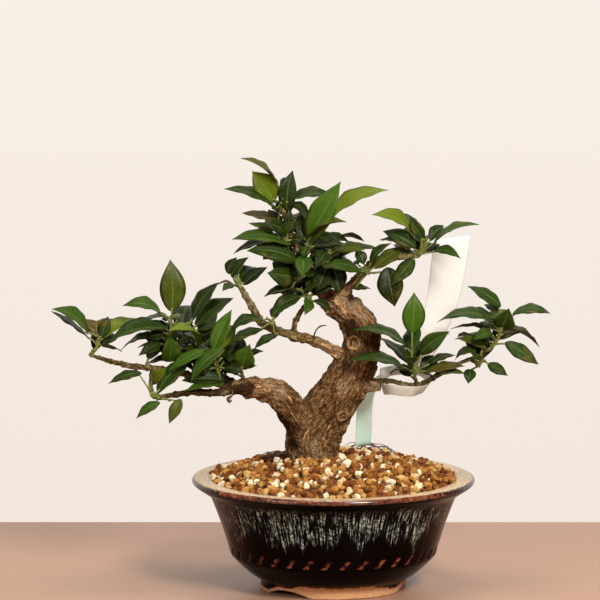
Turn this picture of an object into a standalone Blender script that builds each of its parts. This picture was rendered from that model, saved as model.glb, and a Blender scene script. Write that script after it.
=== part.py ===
"""A mandarin orange bonsai in a round glazed stoneware pot.

Sizes are in millimetres and become metres as each mesh is made. The tree is laid out round the pot's axis,
and at the end everything moves together, so that the middle of the whole tree's box stands on the origin.
Positions of branches and leaves are given as they are seen in a 600-pixel picture of the tree, with how far
they lie behind the pot's axis: seen() turns them into places in the round.
"""

import math
import random
from collections import namedtuple

import bmesh
import bpy
from mathutils import Matrix, Quaternion, Vector, noise
from mathutils.bvhtree import BVHTree
from mathutils.geometry import delaunay_2d_cdt

MM = 0.001
GAP = 0.3
COLLECTION_NAME = "mandarin_orange_bonsai"

# Pot
RIM_RADIUS = 95.0
RIM_HEIGHT = 75.0
LIP_INNER_RADIUS = 82.5
LIP_THICKNESS = 4.0
THROAT_RADIUS, THROAT_HEIGHT = 79.6, 66.0
MIDDLE_RADIUS, MIDDLE_HEIGHT = 75.8, 45.0
HIP_RADIUS, HIP_HEIGHT = 70.2, 28.0
SHOULDER_RADIUS = 68.3
SHOULDER_HEIGHT = 22.0
UNDERSIDE = ((62.5, 15.5), (56.0, 10.5))
FLOOR_RADIUS = 50.0
FOOT_RADIUS = 49.5
FOOT_WIDTH = 6.0
FOOT_HEIGHT = 6.5
WALL = 5.0
FLOOR_HEIGHT = 13.0
FLOOR_DISH = 1.0
DRAIN_RADIUS = 8.0
POT_STEPS = 32
FOOT_NOTCHES = 3
NOTCH_WIDTH = 35.0
NOTCH_RISE = 4.0
FIRST_NOTCH_DEGREES = 230.0

# Drain screen, a small plate of net over the drain hole
SCREEN_SIDE = 26.0
SCREEN_THICKNESS = 1.2
SCREEN_MESHES = 2
SCREEN_MESH_SIDE = 7.5
SCREEN_SEAT = FLOOR_HEIGHT + 0.6

# Soil
SOIL_RADIUS = 81.6
SOIL_EDGE_HEIGHT = 74.0
MOUND_TOP = Vector((12.0, 25.0))
MOUND_RISE = 12.0
MOUND_SHAPE = 2.5
GRANULE_SPACING = 6.3
GRANULE_RELIEF = 1.3
GRANULE_SCATTER = 0.9

# The hole that the trunk stands in
TRUNK_FOOT = Vector((-14.0, 18.0))
TRUNK_FOOT_RADIUS = 16.0
TRUNK_FOOT_HEIGHT = 60.0
COLLAR_RADIUS = 21.2
COLLAR_HEIGHT = 76.0
COLLAR_DEPTH = 4.0
HOLE_STEPS = 24

# The eye that the picture of the tree was taken from
VIEW_DISTANCE = 3000.0
VIEW_HEIGHT = 589.5
VIEW_SIDE = -22.35
VIEW_PITCH = math.radians(7.506)
VIEW_FOCAL = 4532.0
VIEW_MIDDLE = 300.0
MM_PER_PIXEL = 0.669

# Wood and stems
TRUNK_STEP = 10.0
TWIG_STEP = 12.0
STEM_STEP = 7.0

# Leaves
SEEN_STATIONS = ((0.20, 0.80), (0.50, 1.00), (0.80, 0.56))
FILL_STATIONS = ((0.30, 1.00), (0.72, 0.74))
BLADE_THICKNESS = 0.7
BLADE_ARCH = 0.10
WIDTH_SHARE = 0.44
NARROWEST, BROADEST = 8.5, 18.0
STALK_WIDTH = 1.2
STALK_STEP = 1.8
STEM_SAMPLES = 16
SHORTEST_STALK = 3.0
LONG_STALK = 5.0
CLEARANCE = 0.32
OWN_CLEARANCE = 0.1
OWN_ROOT_SHARE = 0.45
FILL_TRIES = 14
SWINGS = [(0, 0)] + [(yaw * step, pitch * step * 0.5) for step in (6, 12, 19, 27, 36, 48, 60)
                     for yaw, pitch in ((1, 0), (-1, 0), (0, 1), (0, -1), (1, 1), (-1, 1), (1, -1), (-1, -1))]
FILL_LENGTHS = (24.0, 37.0)

# Label, a blank strip looped round the lowest right-hand twig
LABEL_THICKNESS = 0.8
LABEL_STEP = 7.0
LABEL_LOOP_WIDTH = 9.0
LABEL_TAIL_WIDTH = 11.0
LABEL_LOOP = [(380, 373, 27), (382, 383, 21), (384.5, 391, 11), (387, 391.5, 1), (393, 390.5, -6),
              (405, 391, -9), (417, 391.5, -8), (426, 391.5, -2), (430.5, 391, 6), (430, 382, 17),
              (425, 373, 25), (412, 370, 28), (396, 370, 28.5)]
LABEL_HEAD = [(414, 373, 27.4, 13.0), (424, 356, 29, 14.5), (433, 332, 30, 19.5), (443, 300, 32, 23.0),
              (449, 262, 34, 25.0), (452, 238, 36, 25.5)]
LABEL_TAIL = [(396, 371, 28.8), (384, 376, 34), (370, 388, 39), (365, 402, 41), (364, 425, 42),
              (363, 445, 43)]

Leaf = namedtuple("Leaf", "base_x base_y tip_x tip_y shown reach arch", defaults=(BLADE_ARCH,))
Spray = namedtuple("Spray", "stem leaves fill seed")
Blade = namedtuple("Blade", "root base tip normal width arch stations")

# Wood: each limb is (picture x, picture y, mm behind the pot's axis, radius in mm) from root to tip
TRUNK = [
    (312, 470, 18, 17.0), (313, 455, 18, 18.6), (312.5, 440, 18, 19.0), (318, 424, 18, 18.5),
    (331, 405, 17, 17.0), (343, 387, 16, 15.5), (353, 369, 15, 14.5), (360, 350, 14, 13.8),
    (361, 335, 14, 13.8), (357, 323, 16, 12.9), (348, 313, 19, 11.2), (338, 304, 22, 9.3),
    (326, 299, 24, 7.0), (319, 298, 25, 5.0),
]
LEFT_LIMB = [
    (311, 440, 17, 13.0), (299, 421, 13, 11.0), (288, 403, 8, 9.6), (277, 391, 4, 8.3),
    (262, 389, 1, 7.2), (249, 388, -2, 6.7), (238, 387, -4, 5.2), (231, 387, -5, 3.6),
]
TWIGS = {
    "far_left": [(238, 387, -4, 3.6), (212, 382, 4, 2.6), (186, 374, 8, 2.4), (160, 369, 7, 2.1),
                 (130, 366, 3, 1.9), (106, 360, -1, 1.6), (94, 356, -3, 1.4)],
    "left_low": [(238, 389, -5, 3.2), (213, 393, -14, 2.7), (192, 392, -19, 2.3),
                 (172, 395, -21, 1.7), (160, 397, -22, 1.4)],
    "left_back": [(240, 387, -3, 3.0), (224, 377, 14, 2.1), (205, 367, 28, 1.7), (192, 359, 36, 1.4)],
    "left_outer": [(180, 373, 8, 1.6), (177, 368, 6.5, 1.4), (176, 364, 5, 1.3)],
    "left_middle": [(203, 379, 6, 1.7), (200, 374, 8, 1.5), (199, 370, 9, 1.4)],
    "left_front": [(224, 384, 0, 1.8), (221, 379, -5, 1.5), (219, 375, -8, 1.4)],
    "left_inner": [(245, 386, -3, 2.2), (243, 378, -6, 1.6), (242, 374, -7, 1.4)],
    "middle": [(350, 358, 13, 5.4), (334, 350, 8, 4.1), (318, 342, 4, 3.5), (303, 338, 1, 3.3),
               (288, 334, -2, 2.9), (272, 329, -4, 2.7), (261, 323, -5, 2.9), (255, 312, -6, 2.6),
               (247, 298, -7, 2.2), (241, 288, -8, 1.8)],
    "middle_low": [(277, 331, -4, 1.7), (275, 327, -8, 1.4), (274, 324, -11, 1.2)],
    "riser": [(293, 336, -1, 2.2), (295, 322, -1, 1.9), (301, 311, 1, 1.8), (307, 303, 3, 1.5)],
    "apex": [(328, 300, 24, 5.0), (317, 288, 19, 3.6), (308, 270, 14, 2.8), (299, 252, 10, 2.3),
             (291, 234, 8, 2.0), (285, 218, 7, 1.7), (282, 207, 6, 1.4)],
    "crown_left": [(296, 246, 9, 1.8), (291, 244, 5, 1.5), (287, 242, 2, 1.3)],
    "crown_right": [(302, 258, 11, 1.8), (306, 255, 6, 1.5), (307, 252, 3, 1.3)],
    "crown_low": [(309, 273, 14, 1.9), (304, 276, 9, 1.6), (301, 278, 6, 1.3)],
    "crown_centre": [(315, 284, 18, 2.0), (321, 279, 13, 1.7), (324, 275, 10, 1.4)],
    "crown_back": [(325, 300, 25, 4.4), (327, 282, 31, 2.8), (325, 262, 33, 2.1), (321, 246, 31, 1.5)],
    "shoulder": [(364, 271, 12, 1.9), (366, 271, 7, 1.6), (367, 272, 3, 1.3)],
    "right_upper": [(336, 302, 22, 5.6), (346, 290, 18, 3.7), (354, 282, 15, 3.2), (364, 271, 12, 2.8),
                    (373, 262, 10, 2.6), (386, 258, 8, 2.2), (402, 257, 6, 2.0), (414, 256, 5, 1.7)],
    "far_right": [(370, 384, 13, 2.4), (381, 381, 12, 1.9), (392, 381, 11, 1.8), (404, 384, 10, 1.7),
                  (416, 386, 8, 1.7), (428, 381, 6, 1.6), (442, 373, 4, 1.5), (462, 362, 2, 1.4),
                  (479, 356, 1, 1.35), (488, 350, 0, 1.3)],
    "right_near": [(416, 386, 8, 1.6), (416, 381, 5, 1.4), (415, 377, 3, 1.3)],
    "right_middle": [(471, 359, 2, 1.5), (475, 362, -2, 1.3), (477, 364, -4, 1.2)],
}
STUB = [(354, 382, 15, 8.5), (364, 384, 14, 6.0), (372, 385.5, 13, 4.6), (381, 386, 12, 4.1)]

# Foliage: each spray carries on from the end of the twig of its name. Its leaves are (base x, base y, tip x,
# tip y, breadth shown, how far the tip lies behind the base in mm, arch); a negative breadth shows the
# leaf's underside. Leaves that the picture hides are filled in by a rule.
SPRAYS = {
    "far_left": Spray([(96, 349, -4), (98, 342, -5), (99, 336, -5)], [
        Leaf(88, 335, 51, 309, 12, -6, 0.16), Leaf(96, 338, 91, 312, 14, 3), Leaf(99, 336, 105, 310, 12, 9),
        Leaf(101, 338, 137, 310, 8, -4, 0.12), Leaf(103, 344, 113, 333, -8, 18),
        Leaf(100, 345, 122, 352, -7, -12)], 4, 11),
    "left_outer": Spray([(174, 354, 2), (171, 338, 0), (171, 324, -1), (172, 316, -1)], [
        Leaf(172, 312, 170, 260, 27, 4), Leaf(161, 313, 122, 306, 12, -6, 0.2),
        Leaf(167, 316, 118, 324, 8, 11), Leaf(167, 329, 105, 343, 14, -10, 0.12),
        Leaf(184, 320, 148, 314, 7, 13), Leaf(176, 338, 190, 332, -8, 15), Leaf(156, 335, 120, 351, 9, 8),
        Leaf(160, 342, 138, 356, 12, -12), Leaf(168, 362, 166, 334, 20, -9)], 5, 23),
    "left_middle": Spray([(197, 358, 9), (196, 345, 7), (192, 332, 6), (189, 325, 5)], [
        Leaf(187, 322, 219, 282, 10, 5), Leaf(191, 322, 234, 298, 12, -5), Leaf(199, 338, 222, 310, 10, 7),
        Leaf(201, 345, 214, 327, 8, 15), Leaf(199, 343, 163, 319, 9, -12, 0.26),
        Leaf(192, 350, 176, 366, 14, -12), Leaf(190, 334, 176, 346, 9, 16)], 6, 31),
    "left_front": Spray([(217, 365, -11), (214, 355, -12)], [
        Leaf(213, 350, 233, 309, 13, 4), Leaf(219, 350, 237, 325, 9, 13), Leaf(207, 350, 168, 372, 10, -6),
        Leaf(230, 350, 190, 375, 12, -12), Leaf(222, 374, 181, 384, 12, -4),
        Leaf(224, 384, 184, 390, 8, -12), Leaf(208, 362, 178, 360, 10, 10)], 4, 43),
    "left_low": Spray([(152, 396, -23), (150, 388, -23), (150, 380, -22)], [
        Leaf(160, 402, 136, 419, 9, -5), Leaf(174, 401, 169, 423, 9, -8), Leaf(151, 379, 166, 368, 10, -12),
        Leaf(142, 373, 108, 384, 9, -4), Leaf(146, 388, 124, 396, -8, 12), Leaf(158, 400, 184, 404, 7, 9)],
        3, 59),
    "left_inner": Spray([(241, 367, -8), (240, 360, -8)], [
        Leaf(242, 374, 250, 344, 22, -6), Leaf(240, 362, 264, 351, -10, 16),
        Leaf(236, 366, 222, 346, 10, 8), Leaf(244, 372, 268, 366, 9, 13), Leaf(236, 372, 212, 364, 8, 12),
        Leaf(239, 358, 238, 338, 9, 18)], 3, 61),
    "left_back": Spray([(186, 351, 41), (180, 340, 44), (178, 332, 44)], [], 13, 73),
    "middle": Spray([(236, 281, -8), (233, 275, -8)], [
        Leaf(229, 275, 237, 257, 11, 4, 0.2), Leaf(232, 275, 249, 258, 8, -4),
        Leaf(243, 284, 267, 268, 12, 5), Leaf(237, 287, 222, 291, 5, -10), Leaf(231, 276, 219, 264, -8, 14)],
        2, 83),
    "middle_low": Spray([(271, 321, -13), (268, 319, -14)], [
        Leaf(266, 322, 230, 331, 9, -4, 0.22), Leaf(263, 329, 229, 345, 8, -8),
        Leaf(278, 335, 254, 349, 7, -6), Leaf(272, 316, 286, 303, 7, 12)], 1, 97),
    "riser": Spray([(305, 296, 3), (302, 290, 2)], [
        Leaf(298, 289, 264, 296, 9, 6), Leaf(301, 297, 271, 312, 12, -9), Leaf(304, 300, 287, 320, 10, 2),
        Leaf(309, 298, 328, 308, 9, -10), Leaf(304, 291, 322, 283, 10, -9)], 1, 101),
    "apex": Spray([(281, 197, 5), (279, 188, 4)], [
        Leaf(277, 183, 241, 158, 7, -5), Leaf(275, 195, 251, 171, 18, -8),
        Leaf(279, 213, 224, 190, 11, -8, 0.16), Leaf(276, 202, 258, 195, 5, 16),
        Leaf(285, 213, 292, 171, 16, 5), Leaf(282, 188, 302, 183, 6, 12), Leaf(287, 203, 332, 195, 10, 3),
        Leaf(289, 207, 309, 215, 9, -16), Leaf(279, 218, 242, 213, 8, 10)], 6, 113),
    "crown_left": Spray([(281, 241, -1), (275, 240, -3)], [
        Leaf(287, 234, 261, 222, 10, -12), Leaf(273, 233, 248, 223, 6, 9),
        Leaf(281, 246, 231, 240, 13, -8, 0.13), Leaf(272, 242, 233, 254, 8, 4),
        Leaf(289, 258, 247, 252, 18, -12), Leaf(279, 236, 296, 220, 10, -5)], 5, 127),
    "crown_right": Spray([(307, 245, 1), (309, 238, 0)], [
        Leaf(307, 241, 341, 182, 20, -3), Leaf(310, 239, 346, 223, 12, -9), Leaf(313, 236, 338, 221, 7, 12),
        Leaf(325, 224, 388, 191, 13, 5), Leaf(305, 256, 302, 277, 20, -12),
        Leaf(303, 240, 300, 212, 12, 10), Leaf(313, 246, 348, 240, 10, -4)], 4, 131),
    "crown_low": Spray([(297, 281, 3), (293, 281, 1)], [
        Leaf(299, 276, 268, 271, 24, -14), Leaf(297, 286, 280, 300, 10, -12),
        Leaf(290, 277, 272, 262, 12, 8)], 4, 149),
    "crown_centre": Spray([(327, 266, 9), (329, 256, 7), (331, 249, 6)], [
        Leaf(325, 262, 316, 292, 22, -8), Leaf(331, 264, 341, 297, 20, -6),
        Leaf(335, 249, 368, 241, 11, -6), Leaf(336, 254, 380, 248, 10, 5),
        Leaf(326, 252, 315, 268, 16, -14), Leaf(330, 247, 318, 226, 14, 8)], 6, 151),
    "crown_back": Spray([(319, 236, 29), (317, 226, 26)], [
        Leaf(318, 228, 352, 234, 9, 6), Leaf(316, 226, 300, 200, 9, 8)], 13, 163),
    "shoulder": Spray([(367, 273, 0), (367, 273, -3)], [
        Leaf(360, 272, 312, 265, 14, -6, 0.18), Leaf(384, 275, 395, 306, 26, -4),
        Leaf(364, 264, 356, 249, 9, 4), Leaf(370, 262, 392, 243, 9, -4), Leaf(362, 280, 372, 291, 7, 9),
        Leaf(360, 262, 346, 262, 8, 14)], 3, 173),
    "right_upper": Spray([(420, 254, 4), (424, 248, 3), (426, 241, 2)], [
        Leaf(411, 231, 371, 215, 14, -7, 0.16), Leaf(421, 235, 395, 210, 7, 8),
        Leaf(425, 236, 411, 215, 12, 1), Leaf(420, 248, 393, 231, 15, -12), Leaf(416, 244, 378, 236, 8, 6),
        Leaf(412, 250, 388, 243, 6, -2), Leaf(430, 241, 444, 225, 10, 9),
        Leaf(434, 244, 483, 223, 10, -4, 0.13), Leaf(434, 251, 461, 259, 10, -8, 0.2),
        Leaf(415, 260, 392, 283, 15, -9), Leaf(420, 242, 384, 227, 6, 12)], 5, 181),
    "right_near": Spray([(414, 369, 2), (412, 358, 1), (412, 346, 1)], [
        Leaf(412, 334, 414, 292, 23, 2), Leaf(407, 347, 350, 331, 12, -6, 0.18),
        Leaf(403, 367, 345, 360, 13, -8, 0.13), Leaf(420, 354, 450, 331, 17, -5),
        Leaf(412, 364, 398, 354, 14, -14), Leaf(421, 370, 434, 355, -9, 9), Leaf(424, 372, 466, 364, 10, 3),
        Leaf(430, 365, 453, 358, 7, 12), Leaf(431, 377, 466, 374, 7, -8),
        Leaf(410, 372, 384, 380, 7, -6, 0.2)], 7, 191),
    "right_middle": Spray([(480, 363, -6), (484, 361, -7)], [
        Leaf(488, 361, 508, 376, 11, -5), Leaf(470, 369, 468, 384, 8, -6), Leaf(486, 349, 454, 339, 9, 8),
        Leaf(477, 352, 455, 361, 8, 4, 0.3), Leaf(480, 355, 462, 350, 9, -12)], 4, 193),
    "far_right": Spray([(496, 342, -1), (500, 334, -2), (500, 326, -2), (500, 318, -2)], [
        Leaf(501, 307, 467, 286, 12, 4), Leaf(498, 313, 484, 304, 6, 15), Leaf(502, 328, 509, 308, 22, -8),
        Leaf(512, 314, 551, 314, 10, -3, 0.14), Leaf(494, 321, 437, 324, 12, -5, 0.18),
        Leaf(493, 318, 453, 314, 9, 11), Leaf(492, 329, 450, 329, -6, 7), Leaf(492, 332, 473, 340, 12, -13),
        Leaf(505, 329, 545, 344, 6, 7), Leaf(505, 342, 539, 365, 14, -6, 0.12)], 7, 197),
}


def seen(px, py, depth):
    """The place, in mm round the pot's axis, that shows at this pixel and lies this far behind the axis."""
    away = VIEW_DISTANCE + depth
    drop = away * math.tan(VIEW_PITCH + math.atan((py - VIEW_MIDDLE) / VIEW_FOCAL))
    reach = away * math.cos(VIEW_PITCH) + drop * math.sin(VIEW_PITCH)
    return Vector(((px - VIEW_MIDDLE) * reach / VIEW_FOCAL + VIEW_SIDE, depth, VIEW_HEIGHT - drop))


def clear_scene():
    for thing in list(bpy.data.objects):
        bpy.data.objects.remove(thing, do_unlink=True)


def new_collection(name):
    collection = bpy.data.collections.new(name)
    bpy.context.scene.collection.children.link(collection)
    return collection


def add_object(name, data, collection):
    thing = bpy.data.objects.new(name, data)
    collection.objects.link(thing)
    return thing


def add_mesh(name, vertices, faces, collection):
    """A closed mesh object from vertices in mm, its faces turned outwards."""
    mesh = bpy.data.meshes.new(name)
    mesh.from_pydata([Vector(v) * MM for v in vertices], [], faces)
    turned = bmesh.new()
    turned.from_mesh(mesh)
    bmesh.ops.recalc_face_normals(turned, faces=turned.faces)
    turned.to_mesh(mesh)
    turned.free()
    return add_object(name, mesh, collection)


def paint(thing, colour, roughness, metallic=0.0):
    material = bpy.data.materials.new(thing.name)
    material.use_nodes = True
    shader = material.node_tree.nodes["Principled BSDF"]
    shader.inputs["Base Color"].default_value = (*colour, 1.0)
    shader.inputs["Roughness"].default_value = roughness
    shader.inputs["Metallic"].default_value = metallic
    thing.data.materials.clear()
    thing.data.materials.append(material)


def apply_modifiers(thing):
    """Make the object's evaluated shape its own mesh."""
    graph = bpy.context.evaluated_depsgraph_get()
    graph.update()
    mesh = bpy.data.meshes.new_from_object(thing.evaluated_get(graph))
    thing.modifiers.clear()
    thing.data = mesh


def boolean(thing, operation, collection, solver="EXACT"):
    """Join or cut the object with everything in a collection, and remove that collection's objects."""
    modifier = thing.modifiers.new(operation.lower(), "BOOLEAN")
    modifier.operation = operation
    modifier.operand_type = "COLLECTION"
    modifier.collection = collection
    modifier.solver = solver
    apply_modifiers(thing)
    for cutter in list(collection.objects):
        bpy.data.objects.remove(cutter, do_unlink=True)
    bpy.data.collections.remove(collection)


def keep_outer_body(thing):
    """Drop what a union leaves inside or beside the main body: a sealed hollow's wall or a loose scrap."""
    joined = bmesh.new()
    joined.from_mesh(thing.data)
    waiting, bodies = set(joined.verts), []
    while waiting:
        body, edge = set(), [waiting.pop()]
        while edge:
            vertex = edge.pop()
            body.add(vertex)
            near = {link.other_vert(vertex) for link in vertex.link_edges} & waiting
            waiting -= near
            edge.extend(near)
        bodies.append(body)
    main_body = max(bodies, key=len)
    bmesh.ops.delete(joined, geom=[v for v in joined.verts if v not in main_body], context="VERTS")
    joined.to_mesh(thing.data)
    joined.free()


def smooth_route(points, step):
    """Points about `step` mm apart on a smooth curve through rows of numbers: places, with radii or not."""
    rows = [Vector(p) for p in points]
    rows = [rows[0] * 2 - rows[1], *rows, rows[-1] * 2 - rows[-2]]
    route = [rows[1]]
    for a, b, c, d in zip(rows, rows[1:], rows[2:], rows[3:]):
        pieces = max(1, round((c - b).length / step))
        for i in range(1, pieces + 1):
            t = i / pieces
            route.append((b * 2 + (c - a) * t + (a * 2 - b * 5 + c * 4 - d) * t * t
                          + (b * 3 - a - c * 3 + d) * t ** 3) / 2)
    return route


def tube(name, route, collection, sides_level):
    """A tapering twig along rows of x, y, z and radius, as a mesh with closed ends."""
    curve = bpy.data.curves.new(name, "CURVE")
    curve.dimensions = "3D"
    curve.bevel_depth = MM
    curve.bevel_resolution = sides_level
    curve.use_fill_caps = True
    spline = curve.splines.new("POLY")
    spline.points.add(len(route) - 1)
    for point, (x, y, z, radius) in zip(spline.points, route):
        point.co = (x * MM, y * MM, z * MM, 1.0)
        point.radius = radius
    rod = add_object(name, curve, collection)
    graph = bpy.context.evaluated_depsgraph_get()
    graph.update()
    mesh = bpy.data.meshes.new_from_object(rod.evaluated_get(graph))
    bpy.data.objects.remove(rod, do_unlink=True)
    welded = bmesh.new()
    welded.from_mesh(mesh)
    bmesh.ops.remove_doubles(welded, verts=welded.verts, dist=0.00001)
    bmesh.ops.recalc_face_normals(welded, faces=welded.faces)
    welded.to_mesh(mesh)
    welded.free()
    return add_object(name, mesh, collection)


def limb(name, route, sides, wobble, collection):
    """A thick limb: rings of uneven radius across rows of x, y, z and radius, with a flat end."""
    centres = [Vector(row[:3]) for row in route]
    across = Vector((0, 1, 0))
    vertices = []
    for i, centre in enumerate(centres):
        along = (centres[min(i + 1, len(centres) - 1)] - centres[max(i - 1, 0)]).normalized()
        across = (across - along * across.dot(along)).normalized()
        side = along.cross(across)
        for k in range(sides):
            turn = 2 * math.pi * k / sides
            out = across * math.cos(turn) + side * math.sin(turn)
            uneven = noise.noise((centre + out * route[i][3]) * 0.055) * wobble
            ends = min(1.0, i / 2, (len(centres) - 1 - i) / 2)
            vertices.append(centre + out * route[i][3] * (1 + uneven * ends))
    faces = [tuple(range(sides))[::-1], tuple(range(len(vertices) - sides, len(vertices)))]
    for i in range(len(centres) - 1):
        for k in range(sides):
            a, b = i * sides + k, i * sides + (k + 1) % sides
            faces.append((a, b, b + sides, a + sides))
    return add_mesh(name, vertices, faces, collection)


def placed(rows, step):
    """Seen rows of picture x, picture y, depth and radius, as a smooth route in the round."""
    return smooth_route([(*seen(*row[:3]), row[3]) for row in rows], step)


def make_pot(collection):
    """The pot: one turned profile, with three low arches cut through its foot ring."""
    lip_under = RIM_HEIGHT - LIP_THICKNESS
    profile = [
        (RIM_RADIUS - 2.5, RIM_HEIGHT), (RIM_RADIUS - 0.6, RIM_HEIGHT - 0.9), (RIM_RADIUS, RIM_HEIGHT - 2.2),
        (RIM_RADIUS - 1.2, lip_under), (RIM_RADIUS - 6.5, lip_under - 4.0),
        (LIP_INNER_RADIUS, lip_under - 7.5), (MIDDLE_RADIUS, MIDDLE_HEIGHT), (HIP_RADIUS, HIP_HEIGHT), (SHOULDER_RADIUS, SHOULDER_HEIGHT),
        *UNDERSIDE, (FLOOR_RADIUS, FOOT_HEIGHT), (FOOT_RADIUS - 0.8, 3.0), (FOOT_RADIUS, 0.0),
        (FOOT_RADIUS - FOOT_WIDTH, 0.0), (FOOT_RADIUS - FOOT_WIDTH - 1.0, FOOT_HEIGHT),
        (DRAIN_RADIUS, FOOT_HEIGHT), (DRAIN_RADIUS, FLOOR_HEIGHT), (FLOOR_RADIUS, FLOOR_HEIGHT + FLOOR_DISH),
        (SHOULDER_RADIUS - WALL, SHOULDER_HEIGHT + 2.5), (MIDDLE_RADIUS - WALL, MIDDLE_HEIGHT),
        (THROAT_RADIUS, THROAT_HEIGHT), (LIP_INNER_RADIUS, RIM_HEIGHT - 0.6),
    ]
    mesh = bpy.data.meshes.new("pot")
    count = len(profile)
    edges = [(i, (i + 1) % count) for i in range(count)]
    mesh.from_pydata([(r * MM, 0, z * MM) for r, z in profile], edges, [])
    pot = add_object("pot", mesh, collection)
    turn = pot.modifiers.new("turn", "SCREW")
    turn.steps = turn.render_steps = POT_STEPS
    turn.use_merge_vertices = True
    turn.merge_threshold = 0.00001
    apply_modifiers(pot)

    notches = new_collection("notches")
    arch_radius = (NOTCH_WIDTH ** 2 / 4 + NOTCH_RISE ** 2) / (2 * NOTCH_RISE)
    for k in range(FOOT_NOTCHES):
        arch = bmesh.new()
        bmesh.ops.create_cone(arch, cap_ends=True, segments=48, radius1=arch_radius * MM,
                              radius2=arch_radius * MM, depth=20 * MM)
        cutter = add_object("notch", bpy.data.meshes.new("notch"), notches)
        turned = math.radians(FIRST_NOTCH_DEGREES + k * 360 / FOOT_NOTCHES)
        out = Matrix.Rotation(turned, 4, "Z") @ Matrix.Translation(
            ((FOOT_RADIUS - FOOT_WIDTH / 2) * MM, 0, (NOTCH_RISE - arch_radius) * MM))
        arch.transform(out @ Matrix.Rotation(math.pi / 2, 4, "Y"))
        arch.to_mesh(cutter.data)
        arch.free()
        cutter.hide_render = True
        cutter.display_type = "WIRE"
    boolean(pot, "DIFFERENCE", notches)
    paint(pot, (0.03, 0.018, 0.012), 0.2)
    return pot


def make_screen(collection):
    """A square of net over the drain hole, flat on the pot's floor."""
    mesh = bpy.data.meshes.new("drain_screen")
    plate = bmesh.new()
    bmesh.ops.create_cube(plate, size=1.0)
    bmesh.ops.scale(plate, verts=plate.verts, vec=(SCREEN_SIDE * MM, SCREEN_SIDE * MM, SCREEN_THICKNESS * MM))
    bottom = SCREEN_SEAT + GAP
    bmesh.ops.translate(plate, verts=plate.verts, vec=(0, 0, (bottom + SCREEN_THICKNESS / 2) * MM))
    plate.to_mesh(mesh)
    plate.free()
    screen = add_object("drain_screen", mesh, collection)
    holes = new_collection("screen_holes")
    pitch = SCREEN_SIDE / (SCREEN_MESHES + 0.4)
    for i in range(SCREEN_MESHES):
        for j in range(SCREEN_MESHES):
            hole = bmesh.new()
            bmesh.ops.create_cube(hole, size=SCREEN_MESH_SIDE * MM)
            middle = (SCREEN_MESHES - 1) / 2
            place = Vector(((i - middle) * pitch, (j - middle) * pitch, bottom + SCREEN_THICKNESS / 2))
            bmesh.ops.translate(hole, verts=hole.verts, vec=place * MM)
            cutter = add_object("screen_hole", bpy.data.meshes.new("screen_hole"), holes)
            hole.to_mesh(cutter.data)
            hole.free()
            cutter.hide_render = True
            cutter.display_type = "WIRE"
    boolean(screen, "DIFFERENCE", holes)
    paint(screen, (0.04, 0.04, 0.04), 0.6)
    return screen


def mound_height(x, y):
    """The soil's level: lowest at the rim, highest behind the trunk."""
    out = Vector((x, y)) - MOUND_TOP
    if out.length < 0.01:
        return SOIL_EDGE_HEIGHT + MOUND_RISE
    lean = MOUND_TOP.dot(out)
    room = SOIL_RADIUS ** 2 - MOUND_TOP.length_squared
    share = out.length_squared / (math.sqrt(lean ** 2 + out.length_squared * room) - lean)
    return SOIL_EDGE_HEIGHT + MOUND_RISE * (1 - min(1.0, share) ** MOUND_SHAPE)


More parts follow.
